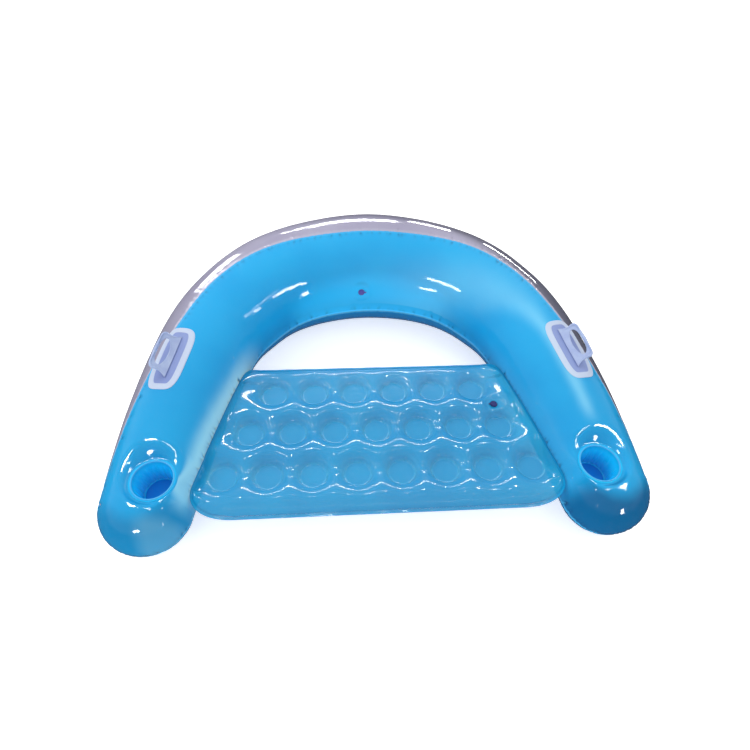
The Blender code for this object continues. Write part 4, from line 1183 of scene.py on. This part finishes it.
class SeatShape:
    """Levels of the pad's two sheets over the plan."""

    def __init__(self):
        self.edge = SeatEdge()
        place = self.edge.place
        falling = np.diff(place[:, 1]) < -1e-9
        first = np.argmax(falling)
        self.side = place[first:][np.concatenate([[True], falling[first:]])][::-1]
        self.edge.width = self.width
        self.air = AirShape(self.edge)

    def width(self, back):
        return np.interp(back, self.side[:, 1], self.side[:, 0])

    def edge_height(self, back):
        return np.interp(back, self.side[:, 1], self.side[:, 2])

    def arm(self, back):
        arm = self.edge.arm[::-1]
        return np.interp(back, arm[:, 1], arm[:, 0]), np.interp(back, arm[:, 1], arm[:, 2])

    def plan(self):
        """Points in plan, in rows, with those near a disc's rim drawn onto it."""
        back = seat_rows()[:, None]
        across = np.linspace(-1, 1, SEAT_COLUMNS)[None] * self.width(back)
        x, y = np.broadcast_arrays(across, back)
        x, y = x.copy(), y.copy()
        for cx, cy in DISCS:
            off = np.hypot(x - cx, y - cy)
            close = np.abs(off - DISC_RADIUS) < SEAT_PITCH * SNAP_SHARE
            x[close] = cx + (x[close] - cx) * DISC_RADIUS / off[close]
            y[close] = cy + (y[close] - cy) * DISC_RADIUS / off[close]
        return np.stack([x, y], -1)

    def sheet(self, above):
        """Points of the upper sheet (above is 1) or the lower one (-1), and its marks."""
        plan = self.plan()
        rows, columns = plan.shape[:2]
        flat = plan.reshape(-1, 2)
        x, y = flat[:, 0], flat[:, 1]
        off = np.stack([np.hypot(x - cx, y - cy) for cx, cy in DISCS])
        nearest = off.argmin(0)
        over = off.min(0) - DISC_RADIUS
        gap = np.maximum(over, 0)
        arm_across, arm_height = self.arm(y)
        to_arm = np.maximum(arm_across - np.abs(x), 0)
        pull = (gap / (gap + to_arm + SHEET)) ** ARM_PULL
        level = lerp(seat_plane(y), arm_height, pull)
        to_side = np.maximum(self.width(y) - np.abs(x), 0)
        to_edge = np.minimum(np.minimum(to_side, y - SEAT_FRONT), SEAT_REAR - y)
        corner = np.exp(-to_side / CORNER_REACH)
        level = lerp(level, lerp(level, self.edge_height(y), corner), self.corner_share(y))
        lift = self.air.lift(flat) * np.where(above > 0, np.sqrt(1 - pull), 1 - pull)
        lift += self.creases(flat, gap, nearest, to_edge, above) * ease(lift / EDGE_FADE)
        height = level + above * (SHEET_OFF_MIDDLE + lift)
        if above > 0:
            spot = np.array(SEAT_VALVE_SPOT)
            far = np.hypot(x - spot[0], y - spot[1])
            height = lerp(spot[2], height, ease((far - VALVE_FLAT_RADIUS) / VALVE_FLAT_FADE))
        ring = bell(over, -RING_INSET, RING_WIDTH) * (over < 0.001)
        welded = np.maximum(DISC_MARK * fade(over, 0.0022, -0.0002), RING_MARK * ring)
        # Painted light: a pale glow round each disc, weaker in front of and behind it, and a pale
        # strip by the right arm
        halo = bell(gap, 0, HALO) * (over > -0.001)
        beside = np.abs(y - DISCS[nearest][:, 1]) / (DISC_RADIUS + gap)
        by_right_arm = ARM_LIGHT * fade(to_arm, PALE_BY_ARM, 0) * (x > 0) * fade(gap, 0, 0.01)
        lit = np.maximum(halo * lerp(1.0, HALO_BESIDE, beside), by_right_arm)
        points = np.concatenate([flat, height[:, None]], 1)
        return points.reshape(rows, columns, 3), welded, lit

    def corner_share(self, back):
        """1 where the outline is a corner or a free edge, 0 along the arm."""
        arm = self.edge.arm
        front, rear = arm[:, 1].min(), arm[:, 1].max()
        return np.clip(np.maximum(front - back, back - rear) / EDGE_FADE, 0, 1)

    def creases(self, flat, gap, nearest, to_edge, above):
        """Small puckers round the discs, most of them in the necks between neighbours."""
        total = np.zeros(len(flat))
        off = flat - DISCS[nearest]
        turn = np.arctan2(off[:, 1], off[:, 0])
        pitch, reach, width = DISC_PUCKERS
        least, at_neck, at_rear = PUCKER_DEPTHS
        for i in range(len(DISCS)):
            mine = nearest == i
            seed = DISC_SEED + 7 * i + (above < 0)
            pleats = Pleats(seed, 2 * math.pi * DISC_RADIUS, pitch)
            place = (turn[mine] % (2 * math.pi)) * DISC_RADIUS
            found = pleats.field(gap[mine], place, reach, width)
            rise = np.sin(turn[mine])
            neck = bell(rise, 0, NECK_WIDTH)
            total[mine] -= found * (least + at_neck * neck + at_rear * 0.5 * ease(rise))
        pitch, reach, width = EDGE_PUCKERS
        pleats = Pleats(EDGE_SEED + (above < 0), 1.3, pitch)
        return total - EDGE_PUCKER_DEPTH * pleats.field(to_edge, flat[:, 0] + 0.6, reach, width)

    def flange(self, above):
        """The flat welded margin outside the pad, from edge to edge."""
        edge = self.edge
        shares = np.linspace(0, 1, 6)[:, None, None]
        along = run_length(edge.place)
        ripple = RIPPLE * np.sin(along * 70 + 1.6 * np.sin(along * 23)) * (1 - edge.tie)
        end = edge.place + edge.way * SEAT_FLANGE + edge.up * FLANGE_FLARE * edge.tie[:, None]
        run = lerp(edge.place, end, shares) + edge.up * (ripple[:, None] * shares**1.5)
        return run + edge.up * (above * SHEET_OFF_MIDDLE)


def make_seat():
    shape = SeatShape()
    made = []
    for name, above, look, node, slot in (
        ("seat_upper_film", 1, SEAT_FILM, "seat_top_sheet", "pale_blue_vinyl"),
        ("seat_lower_film", -1, UNDER_FILM, "seat_bottom_sheet", "blue_vinyl"),
    ):
        block, welded, lit = shape.sheet(above)
        film = Film()
        film.add(block)
        edge_run = shape.flange(above)
        film.add(edge_run)
        film.add(mirrored(edge_run, -1))
        piece = film.build(name, look, (0, 0, above))
        at = matched(corners_of(piece), block)
        set_mark(piece, "weld", picked(welded, at, FLANGE_MARK))
        set_mark(piece, "lit", picked(lit, at, 0))
        stand_for(piece, node)
        made.append(piece)
    return made


# Cup holders
CUP_SEED = 5
CUP_SEGMENTS = 220
CUP_BULGE = 0.0035
CUP_FOLDS = 16
CUP_FOLD_DEPTH = 0.0042
CUP_FOLD_START = 3.2
FOLD_RIM_DEPTH = 0.35
FOLD_RIM_WIDTH = 2.6
FLOOR_STEPS = (0.0015, 0.004, 0.007)
RIM_FLAT_SHARE = 0.9
RIM_FLAT_FADE = 0.001
CUP_WELD_SPAN = (0.02, -0.01)
# Painted light inside the cup wall: a glow that rises below the rim and fades towards the floor
CUP_LIGHT_DEPTH = 0.2
CUP_LIGHT_LOSS = 0.8
CUP_DISC_SEGMENTS = 96
CUP_DISC_RADIUS = 0.0418
CUP_DISC_RISE = 0.0012
CUP_DISC_EDGE = 0.0003


def turned(profile, segments, wave=None):
    """Rows of points of a profile turned about Z."""
    turns = np.linspace(0, 2 * math.pi, segments + 1)
    rows = []
    for k, (radius, height) in enumerate(profile):
        reach = radius + (wave(k / (len(profile) - 1), turns) if wave else 0 * turns)
        x, y = reach * np.cos(turns), reach * np.sin(turns)
        rows.append(np.stack([x, y, height + 0 * turns], -1))
    return np.stack(rows)


def cup_pleats(seed):
    """Irregular soft folds of a cup's wall, as an inward depth round the turn."""
    chance = np.random.default_rng(seed)
    spots = np.cumsum(chance.uniform(0.7, 1.35, CUP_FOLDS))
    spots = spots / (spots[-1] + 0.9) * 2 * math.pi
    depth = chance.uniform(0.35, 1.0, len(spots))
    sharp = chance.uniform(0.055, 0.14, len(spots))

    def fold(share, turns):
        total = 0 * turns
        for spot, deep, wide in zip(spots, depth, sharp):
            off = (turns - spot + math.pi) % (2 * math.pi) - math.pi
            beside = FOLD_RIM_DEPTH * bell(off, 0, FOLD_RIM_WIDTH * wide)
            total += deep * (bell(off, 0, wide) - beside)
        return -CUP_FOLD_DEPTH * total * ease(share * CUP_FOLD_START)

    return fold


def cup_profile():
    """Radii and heights from a cup's rim to the edge of its floor, and the rim's share of them."""
    top = CLEARANCE + SHEET
    rim = [(r, top) for r in np.linspace(CUP_RIM_RADIUS, CUP_MOUTH_RADIUS + CUP_BEAD, 6)[:-1]]
    for turn in np.linspace(0, math.pi, 9):
        reach = CUP_MOUTH_RADIUS + CUP_BEAD / 2 * (1 + math.cos(turn))
        rim.append((reach, top + CUP_BEAD * math.sin(turn) / 2))
    wall = []
    for share in np.linspace(0, 1, 30)[1:]:
        reach = lerp(CUP_MOUTH_RADIUS, CUP_FLOOR_RADIUS, share)
        wall.append((reach - CUP_BULGE * math.sin(math.pi * share), lerp(top, -CUP_DEPTH, share)))
    wall += [(CUP_FLOOR_RADIUS - step, -CUP_DEPTH) for step in FLOOR_STEPS]
    return rim + wall, len(rim) / len(rim + wall)


def cup_disc_profile():
    """Radius and height of a cup's floor, slightly domed, with its edge turned down."""
    low = CLEARANCE - CUP_DEPTH + SHEET
    reach = np.linspace(0.0001, CUP_DISC_RADIUS, 16)
    disc = [(r, low + CUP_DISC_RISE * ease(1 - r / CUP_DISC_RADIUS)) for r in reach]
    return disc + [(CUP_DISC_RADIUS + CUP_DISC_EDGE, low - SHEET)]


def cup_piece(name, block, side, look):
    film = Film()
    film.add(block + (CUP_ACROSS * side, CUP_BACK, CUP_RIM_HEIGHT))
    return film.build(name, look, (0, 0, 1))


def make_cups():
    profile, rim_share = cup_profile()
    for side_name, side in (("left", -1), ("right", 1)):
        folds = cup_pleats(CUP_SEED + side)

        def wave(share, turns):
            return folds(np.clip((share - rim_share) / (1 - rim_share), 0, 1), turns)

        block = turned(profile, CUP_SEGMENTS, wave)
        piece = cup_piece(f"{side_name}_cup_skin", block, side, CUP_FILM)
        points = corners_of(piece)
        drop = (CUP_RIM_HEIGHT - points[:, 2]) / CUP_DEPTH
        from_axis = np.hypot(points[:, 0] - side * CUP_ACROSS, points[:, 1] - CUP_BACK)
        flat = ease((from_axis - CUP_MOUTH_RADIUS - CUP_BEAD) / RIM_FLAT_FADE)
        set_mark(piece, "weld", fade(drop, *CUP_WELD_SPAN) * (1 - RIM_FLAT_SHARE * flat))
        # Painted light: the lit mark makes the inside of the cup wall glow
        set_mark(piece, "lit", ease(drop / CUP_LIGHT_DEPTH) * (1 - CUP_LIGHT_LOSS * ease(drop)))
        stand_for(piece, f"{side_name}_cup_wall")
        block = turned(cup_disc_profile(), CUP_DISC_SEGMENTS)
        piece = cup_piece(f"{side_name}_cup_disc", block, side, CUP_FLOOR)
        set_mark(piece, "weld", np.zeros(len(piece.data.vertices)))
        stand_for(piece, f"{side_name}_cup_base")


# Handles
def patch_point(along, across, lift):
    """Points over the right arm: from the handle's middle, along runs ahead and across outwards."""
    ends = centre(np.array([HANDLE_SHARE - PLACE_STEP, HANDLE_SHARE + PLACE_STEP]))
    pace = np.linalg.norm(ends[1] - ends[0]) / (2 * PLACE_STEP)
    angle = HANDLE_ANGLE - np.degrees(across / tube_radius(HANDLE_SHARE))
    return tube(HANDLE_SHARE + along / pace, 1, angle, lift)


def oblong(turns, length, width, squareness):
    across = np.sign(np.cos(turns)) * np.abs(np.cos(turns)) ** (2 / squareness) * length / 2
    up = np.sign(np.sin(turns)) * np.abs(np.sin(turns)) ** (2 / squareness) * width / 2
    return across, up


PATCH_RING_SHARES = np.concatenate([np.linspace(0.02, 0.5, 8), np.linspace(0.52, 1.0, 56)])
PATCH_TURNS = 220
PATCH_BORDER = 0.0175
PATCH_STEP = 0.002
PATCH_EDGE = 0.0014
PATCH_EDGE_DROP = 0.9


def make_patch(side_name, side):
    """Oblong patch with a raised border and a recessed panel."""
    turns = np.linspace(0, 2 * math.pi, PATCH_TURNS + 1)
    along, across = oblong(turns, PATCH_LENGTH, PATCH_WIDTH, PATCH_SQUARENESS)
    rim = np.stack([along, across], -1)
    rim = np.concatenate([lerp(rim[:-1], rim[1:], share) for share in (0, 0.25, 0.5, 0.75)])
    rings = []
    marks = []
    for share in PATCH_RING_SHARES:
        spots = np.stack([along, across], -1) * share
        from_edge = np.sqrt(((spots[:, None] - rim[None]) ** 2).sum(-1)).min(1)
        border = 1 - ease((from_edge - PATCH_BORDER) / PATCH_STEP)
        lift = PATCH_LIFT + PATCH_THICKNESS * (0.5 + 0.5 * border)
        lift = lift - PATCH_THICKNESS * PATCH_EDGE_DROP * (1 - ease(from_edge / PATCH_EDGE))
        rings.append(patch_point(along * share, across * share + PATCH_OUTWARD, lift))
        marks.append(border)
    block = mirrored(np.stack(rings), side)
    middle = np.broadcast_to(block[0].mean(0), block[0].shape)
    film = Film()
    film.add(block)
    film.add(np.stack([block[0], middle]))
    piece = film.build(f"{side_name}_patch_skin", PATCH_MILK, (0, 0, 1))
    at = matched(corners_of(piece), block)
    set_mark(piece, "weld", picked(np.stack(marks), at, 0))
    stand_for(piece, f"{side_name}_handle_patch")


GRIP_SPOKES = 168
GRIP_WAIST = 0.006
HOLE_LIP = 0.0021
WEB_FROM_HOLE = 1.9
WEB_FROM_BEAD = 1.2
BEAD_TURN = 145


def grip_outline(turns):
    """Where rays from the middle of the finger hole meet the middle of the grip's edge bead."""
    top = GRIP_HEIGHT - GRIP_BEAD_RADIUS
    half_grip = GRIP_LENGTH / 2
    low = np.array([ROOT_LENGTH / 2, 0.0])
    high = np.array([half_grip + GRIP_CHAMFER / 2, top - GRIP_CHAMFER])
    corner = np.array([half_grip + GRIP_CHAMFER / 3, top])
    last = np.array([half_grip - GRIP_CHAMFER, top])
    share = np.linspace(0, 1, 14)[:, None]
    edge = lerp(low, high, share) - GRIP_WAIST * np.sin(math.pi * share) * (1, 0)
    right = np.concatenate([edge, bezier(edge[-1], corner, last, np.linspace(0, 1, 8)[1:])])
    corners = np.concatenate([right, right[::-1] * (-1, 1)])
    start = corners - (0, HOLE_RISE)
    along = np.roll(start, -1, axis=0) - start
    reach = []
    for turn in turns:
        ray = np.array([math.cos(turn), math.sin(turn)])
        cross = ray[0] * along[:, 1] - ray[1] * along[:, 0]
        cross = np.where(np.abs(cross) < 1e-12, 1e-12, cross)
        far = (start[:, 0] * along[:, 1] - start[:, 1] * along[:, 0]) / cross
        share = (start[:, 0] * ray[1] - start[:, 1] * ray[0]) / cross
        good = (far > 0) & (share >= -1e-9) & (share <= 1 + 1e-9)
        reach.append(far[good].min())
    reach = np.array(reach)
    return np.stack([np.cos(turns) * reach, np.sin(turns) * reach], -1)


def grip_hole(turns):
    """The finger hole: straight along the outer bar and bowed towards the root."""
    across, up = oblong(turns, HOLE_LENGTH, HOLE_WIDTH, HOLE_SQUARENESS)
    bow = np.where(up < 0, 1 - HOLE_BOW_SHARE * (2 * across / HOLE_LENGTH) ** 2, 1.0)
    return np.stack([across, up * bow], -1)


def make_grip(side_name, side):
    turns = 2 * math.pi * (np.arange(GRIP_SPOKES + 1) % GRIP_SPOKES + 0.5) / GRIP_SPOKES
    edge = grip_outline(turns)
    out = unit(edge)
    rise = (edge[:, 1] + HOLE_RISE) / (GRIP_HEIGHT - GRIP_BEAD_RADIUS)
    bead = lerp(ROOT_BEAD_RADIUS, GRIP_BEAD_RADIUS, ease(rise))[:, None]
    hole = grip_hole(turns)
    web = WEB_THICKNESS / 2
    rows = []
    for turn in np.radians(np.linspace(-90, 90, 7)):
        spot = hole + unit(hole) * (HOLE_LIP - HOLE_LIP * math.cos(turn))
        rows.append((spot, np.full(len(turns), HOLE_LIP * math.sin(turn))))
    inner = hole + unit(hole) * HOLE_LIP * WEB_FROM_HOLE
    for share in np.linspace(0, 1, 7):
        spot = lerp(inner, edge - out * bead * WEB_FROM_BEAD, share)
        rows.append((spot, np.full(len(turns), web)))
    for angle in np.linspace(BEAD_TURN, 0, 9):
        turn = math.radians(angle)
        depth = np.maximum(bead[:, 0] * math.sin(turn), web if angle > 90 else 0)
        rows.append((edge + out * bead * math.cos(turn), depth))
    points = [np.stack([spot[:, 0], depth, spot[:, 1] + HOLE_RISE], -1) for spot, depth in rows]
    back = [point * (1, -1, 1) for point in points[7:]][::-1]
    block = np.stack(points + back + [points[0]])
    lift = PATCH_LIFT + PATCH_THICKNESS
    samples = np.linspace(-ROOT_LENGTH / 2, ROOT_LENGTH / 2, 9)
    rear, front = patch_point(samples, 0, lift)[[0, -1]]
    along = unit(front - rear)
    upright = np.array([0, 0, 1.0])
    upright = unit(upright - along * upright.dot(along))
    outside = np.array([1.0, 0, 0])
    outside = unit(outside - along * outside.dot(along) - upright * outside.dot(upright))
    needed = 0
    for across in (-ROOT_BEAD_RADIUS, 0, ROOT_BEAD_RADIUS):
        needed = max(needed, ((patch_point(samples, across, lift) - rear) @ upright).max())
    middle = (rear + front) / 2 + upright * (needed + ROOT_BEAD_RADIUS + CLEARANCE)
    lean = upright * math.cos(HANDLE_LEAN) + outside * math.sin(HANDLE_LEAN)
    axes = np.stack([along, np.cross(lean, along), lean])
    film = Film()
    film.add(mirrored(block @ axes + middle, side))
    piece = film.build(f"{side_name}_grip_moulding", GRIP_MILK)
    stand_for(piece, f"{side_name}_handle_grip", body=f"{side_name}_grip")


def finish_valves():
    """The valve pieces keep their solids and get a worked plastic."""
    for name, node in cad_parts.items():
        if "_valve_" in name:
            node.data.materials.clear()
            node.data.materials.append(VIOLET_PLASTIC if name.startswith("tube") else NAVY_PLASTIC)


# Stage
FLOOR_GLOW = 0.6
FLOOR_REACH = 6
FLOOR_LEVEL = -0.0005
SKY_TOWARDS = (-0.45, 0.8, 0.4)
SKY_RANGE = (0.52, 1.02)
HORIZON = (-0.05, 0.16)
BELOW_HORIZON = 0.1
DOME_RADIUS = 5.9


def make_floor():
    look = Look("studio_floor", 0.6)
    look.put("Emission Color", (1.0, 1.0, 1.0, 1.0))
    look.put("Emission Strength", FLOOR_GLOW)
    cloud = look.span(look.noise(1.4, 2.0), *PLASTIC_SPAN)
    look.put("Base Color", look.mix(cloud, (250, 250, 252), (246, 247, 250)))
    film = Film()
    reach = np.linspace(-FLOOR_REACH, FLOOR_REACH, 25)
    x, y = np.meshgrid(reach, reach)
    film.add(np.stack([x, y, np.full_like(x, FLOOR_LEVEL)], -1))
    floor = film.build("floor", look.made, (0, 0, 1))
    floor.visible_glossy = False


def make_backdrop():
    """A pale dome round the floor, which is seen but doesn't light the chair or shine in it."""
    look = Look("studio_backdrop", 0.8)
    cloud = look.span(look.noise(0.3, 2.0), *PLASTIC_SPAN)
    look.put("Emission Color", look.mix(cloud, (254, 254, 255), (252, 253, 255)))
    look.put("Emission Strength", 1.0)
    look.put("Base Color", (0.0, 0.0, 0.0, 1.0))
    turns = np.linspace(0, 2 * math.pi, 65)
    rises = np.linspace(0, math.pi / 2, 17)[:, None]
    across = np.cos(rises) * np.cos(turns)
    back = np.cos(rises) * np.sin(turns)
    film = Film()
    film.add(DOME_RADIUS * np.stack([across, back, np.sin(rises) + 0 * turns], -1) - (0, 0, 0.001))
    dome = film.build("backdrop", look.made, (0, 0, 1))
    for ray in ("diffuse", "glossy", "transmission", "shadow"):
        setattr(dome, f"visible_{ray}", False)


def area_light(name, place, target, size, radiance):
    lamp = bpy.data.lights.new(name, "AREA")
    lamp.shape = "RECTANGLE"
    lamp.size, lamp.size_y = size
    lamp.energy = radiance * math.pi * size[0] * size[1]
    made = bpy.data.objects.new(name, lamp)
    bpy.context.collection.objects.link(made)
    way = Vector(target) - Vector(place)
    turn = way.to_track_quat("-Z", "Y").to_matrix().to_4x4()
    made.matrix_world = Matrix.Translation(place) @ turn
    made.visible_camera = False
    return made


# Soft boxes that light the chair: place, target, size in metres, radiance
SOFT_BOXES = (
    ((-1.0, 1.6, 2.6), (0, 0.2, 0.2), (2.4, 2.0), 1.9),
    ((1.4, -0.6, 2.4), (0.1, 0, 0.2), (1.6, 1.6), 0.8),
    ((-1.6, -2.4, 1.5), (-0.2, 0.1, 0.2), (2.0, 1.2), 1.5),
)
# Boxes that only shine in the film: what they shine in, place, target, size, radiance
SHINE_BOXES = (
    ("band", (0, 3.35, 1.23), (0, 0.5, 0.3), (1.3, 0.5), 60),
    ("band", (1.02, 3.34, 0.72), (0.2, 0.48, 0.3), (0.5, 0.45), 50),
    ("band", (-0.85, 3.28, 1.08), (-0.25, 0.45, 0.3), (0.35, 0.4), 40),
    ("band", (-2.1, 2.74, 0.9), (-0.5, 0.28, 0.28), (0.8, 0.7), 70),
    ("band", (2.2, 2.75, 0.44), (0.5, 0.3, 0.28), (1.0, 0.2), 60),
    ("seat", (0, 2.55, 2.12), (0, -0.2, 0.15), (3.6, 0.2), 105),
    ("seat", (-0.9, -0.1, 2.0), (0, -0.2, 0.15), (0.16, 0.16), 150),
    ("seat", (0.9, -0.1, 2.0), (0, -0.2, 0.15), (0.16, 0.16), 150),
    ("seat", (-0.3, 0.1, 2.4), (0, -0.2, 0.15), (0.14, 0.14), 150),
    ("seat", (0.3, 0.1, 2.4), (0, -0.2, 0.15), (0.14, 0.14), 150),
    ("seat", (-2.2, -0.1, 1.6), (-0.3, -0.2, 0.15), (0.9, 0.14), 60),
    ("tube", (-0.338, -0.699, 1.013), (0.25, 0.205, 0.286), (0.40, 0.12), 45),
    ("tube", (0.512, -0.613, 0.934), (-0.27, 0.197, 0.284), (0.42, 0.12), 45),
)
# Boxes for the arms' ends, with a narrow beam, in the same terms
END_BOXES = (
    ("tube", (-0.95, -0.50, 1.50), (-0.6, -0.45, 0.24), (0.50, 0.50), 8),
    ("tube", (1.20, -0.66, 1.38), (0.6, -0.45, 0.24), (0.50, 0.50), 8),
    ("tube", (-0.9, -2.4, 0.75), (-0.62, -0.57, 0.19), (0.40, 0.26), 7),
    ("tube", (1.3, -2.2, 0.5), (0.63, -0.57, 0.19), (0.22, 0.42), 7),
)
END_BEAM = math.radians(56)


def make_sky():
    """A pale sky, brighter towards one side and dark below the horizon."""
    world = bpy.data.worlds.new("studio")
    bpy.context.scene.world = world
    sky = Graph(world, "Generated")
    background = sky.nodes["Background"]
    background.inputs["Color"].default_value = (1.0, 1.0, 1.0, 1.0)
    towards = sky.nodes.new("ShaderNodeVectorMath")
    towards.operation = "DOT_PRODUCT"
    towards.inputs[1].default_value = SKY_TOWARDS
    sky.join(sky.where, towards.inputs[0])
    level = sky.nodes.new("ShaderNodeSeparateXYZ")
    sky.join(sky.where, level.inputs[0])
    bright = sky.span(towards.outputs["Value"], -1.0, 1.0, *SKY_RANGE)
    dusk = sky.span(level.outputs["Z"], *HORIZON, BELOW_HORIZON, 1.0)
    sky.join(sky.math("MULTIPLY", bright, dusk), background.inputs["Strength"])


def make_lights(groups):
    """The soft boxes, and the shine boxes, which each light one group of pieces."""
    for i, (place, target, size, radiance) in enumerate(SOFT_BOXES):
        area_light(f"soft_{i}", place, target, size, radiance).visible_glossy = False
    receivers = {}
    for name, pieces in groups.items():
        receivers[name] = bpy.data.collections.new(f"{name}_shine")
        for piece in pieces:
            receivers[name].objects.link(piece)
    for i, (group, place, target, size, radiance) in enumerate(SHINE_BOXES + END_BOXES):
        made = area_light(f"shine_{i}", place, target, size, radiance)
        made.visible_diffuse = False
        made.light_linking.receiver_collection = receivers[group]
        if i >= len(SHINE_BOXES):
            made.data.spread = END_BEAM


CAMERA_PLACE = (-0.10128, -1.05671, 1.49451)
CAMERA_DOWN = 0.93230509
CAMERA_YAW = 0.10697687
CAMERA_ROLL = 0.05959592
CAMERA_LENS = 24.96


def make_camera():
    ahead = Vector(
        (
            math.sin(CAMERA_YAW) * math.cos(CAMERA_DOWN),
            math.cos(CAMERA_YAW) * math.cos(CAMERA_DOWN),
            -math.sin(CAMERA_DOWN),
        )
    )
    level = Vector((math.cos(CAMERA_YAW), -math.sin(CAMERA_YAW), 0))
    up = level.cross(ahead)
    right = level * math.cos(CAMERA_ROLL) + up * math.sin(CAMERA_ROLL)
    top = up * math.cos(CAMERA_ROLL) - level * math.sin(CAMERA_ROLL)
    lens = bpy.data.cameras.new("camera")
    lens.lens = CAMERA_LENS
    lens.sensor_width = 36.0
    made = bpy.data.objects.new("camera", lens)
    bpy.context.collection.objects.link(made)
    turn = Matrix((right, top, -ahead)).transposed().to_4x4()
    made.matrix_world = Matrix.Translation(CAMERA_PLACE) @ turn
    bpy.context.scene.camera = made


def main():
    bpy.context.scene.view_settings.view_transform = "Standard"
    make_camera()
    make_floor()
    make_backdrop()
    make_sky()
    top, outer, belly = make_tube()
    make_lights({"tube": [top, belly], "band": [outer], "seat": make_seat()})
    make_cups()
    for side_name, side in (("left", -1), ("right", 1)):
        make_patch(side_name, side)
        make_grip(side_name, side)
    finish_valves()


main()
bpy.context.view_layer.update()
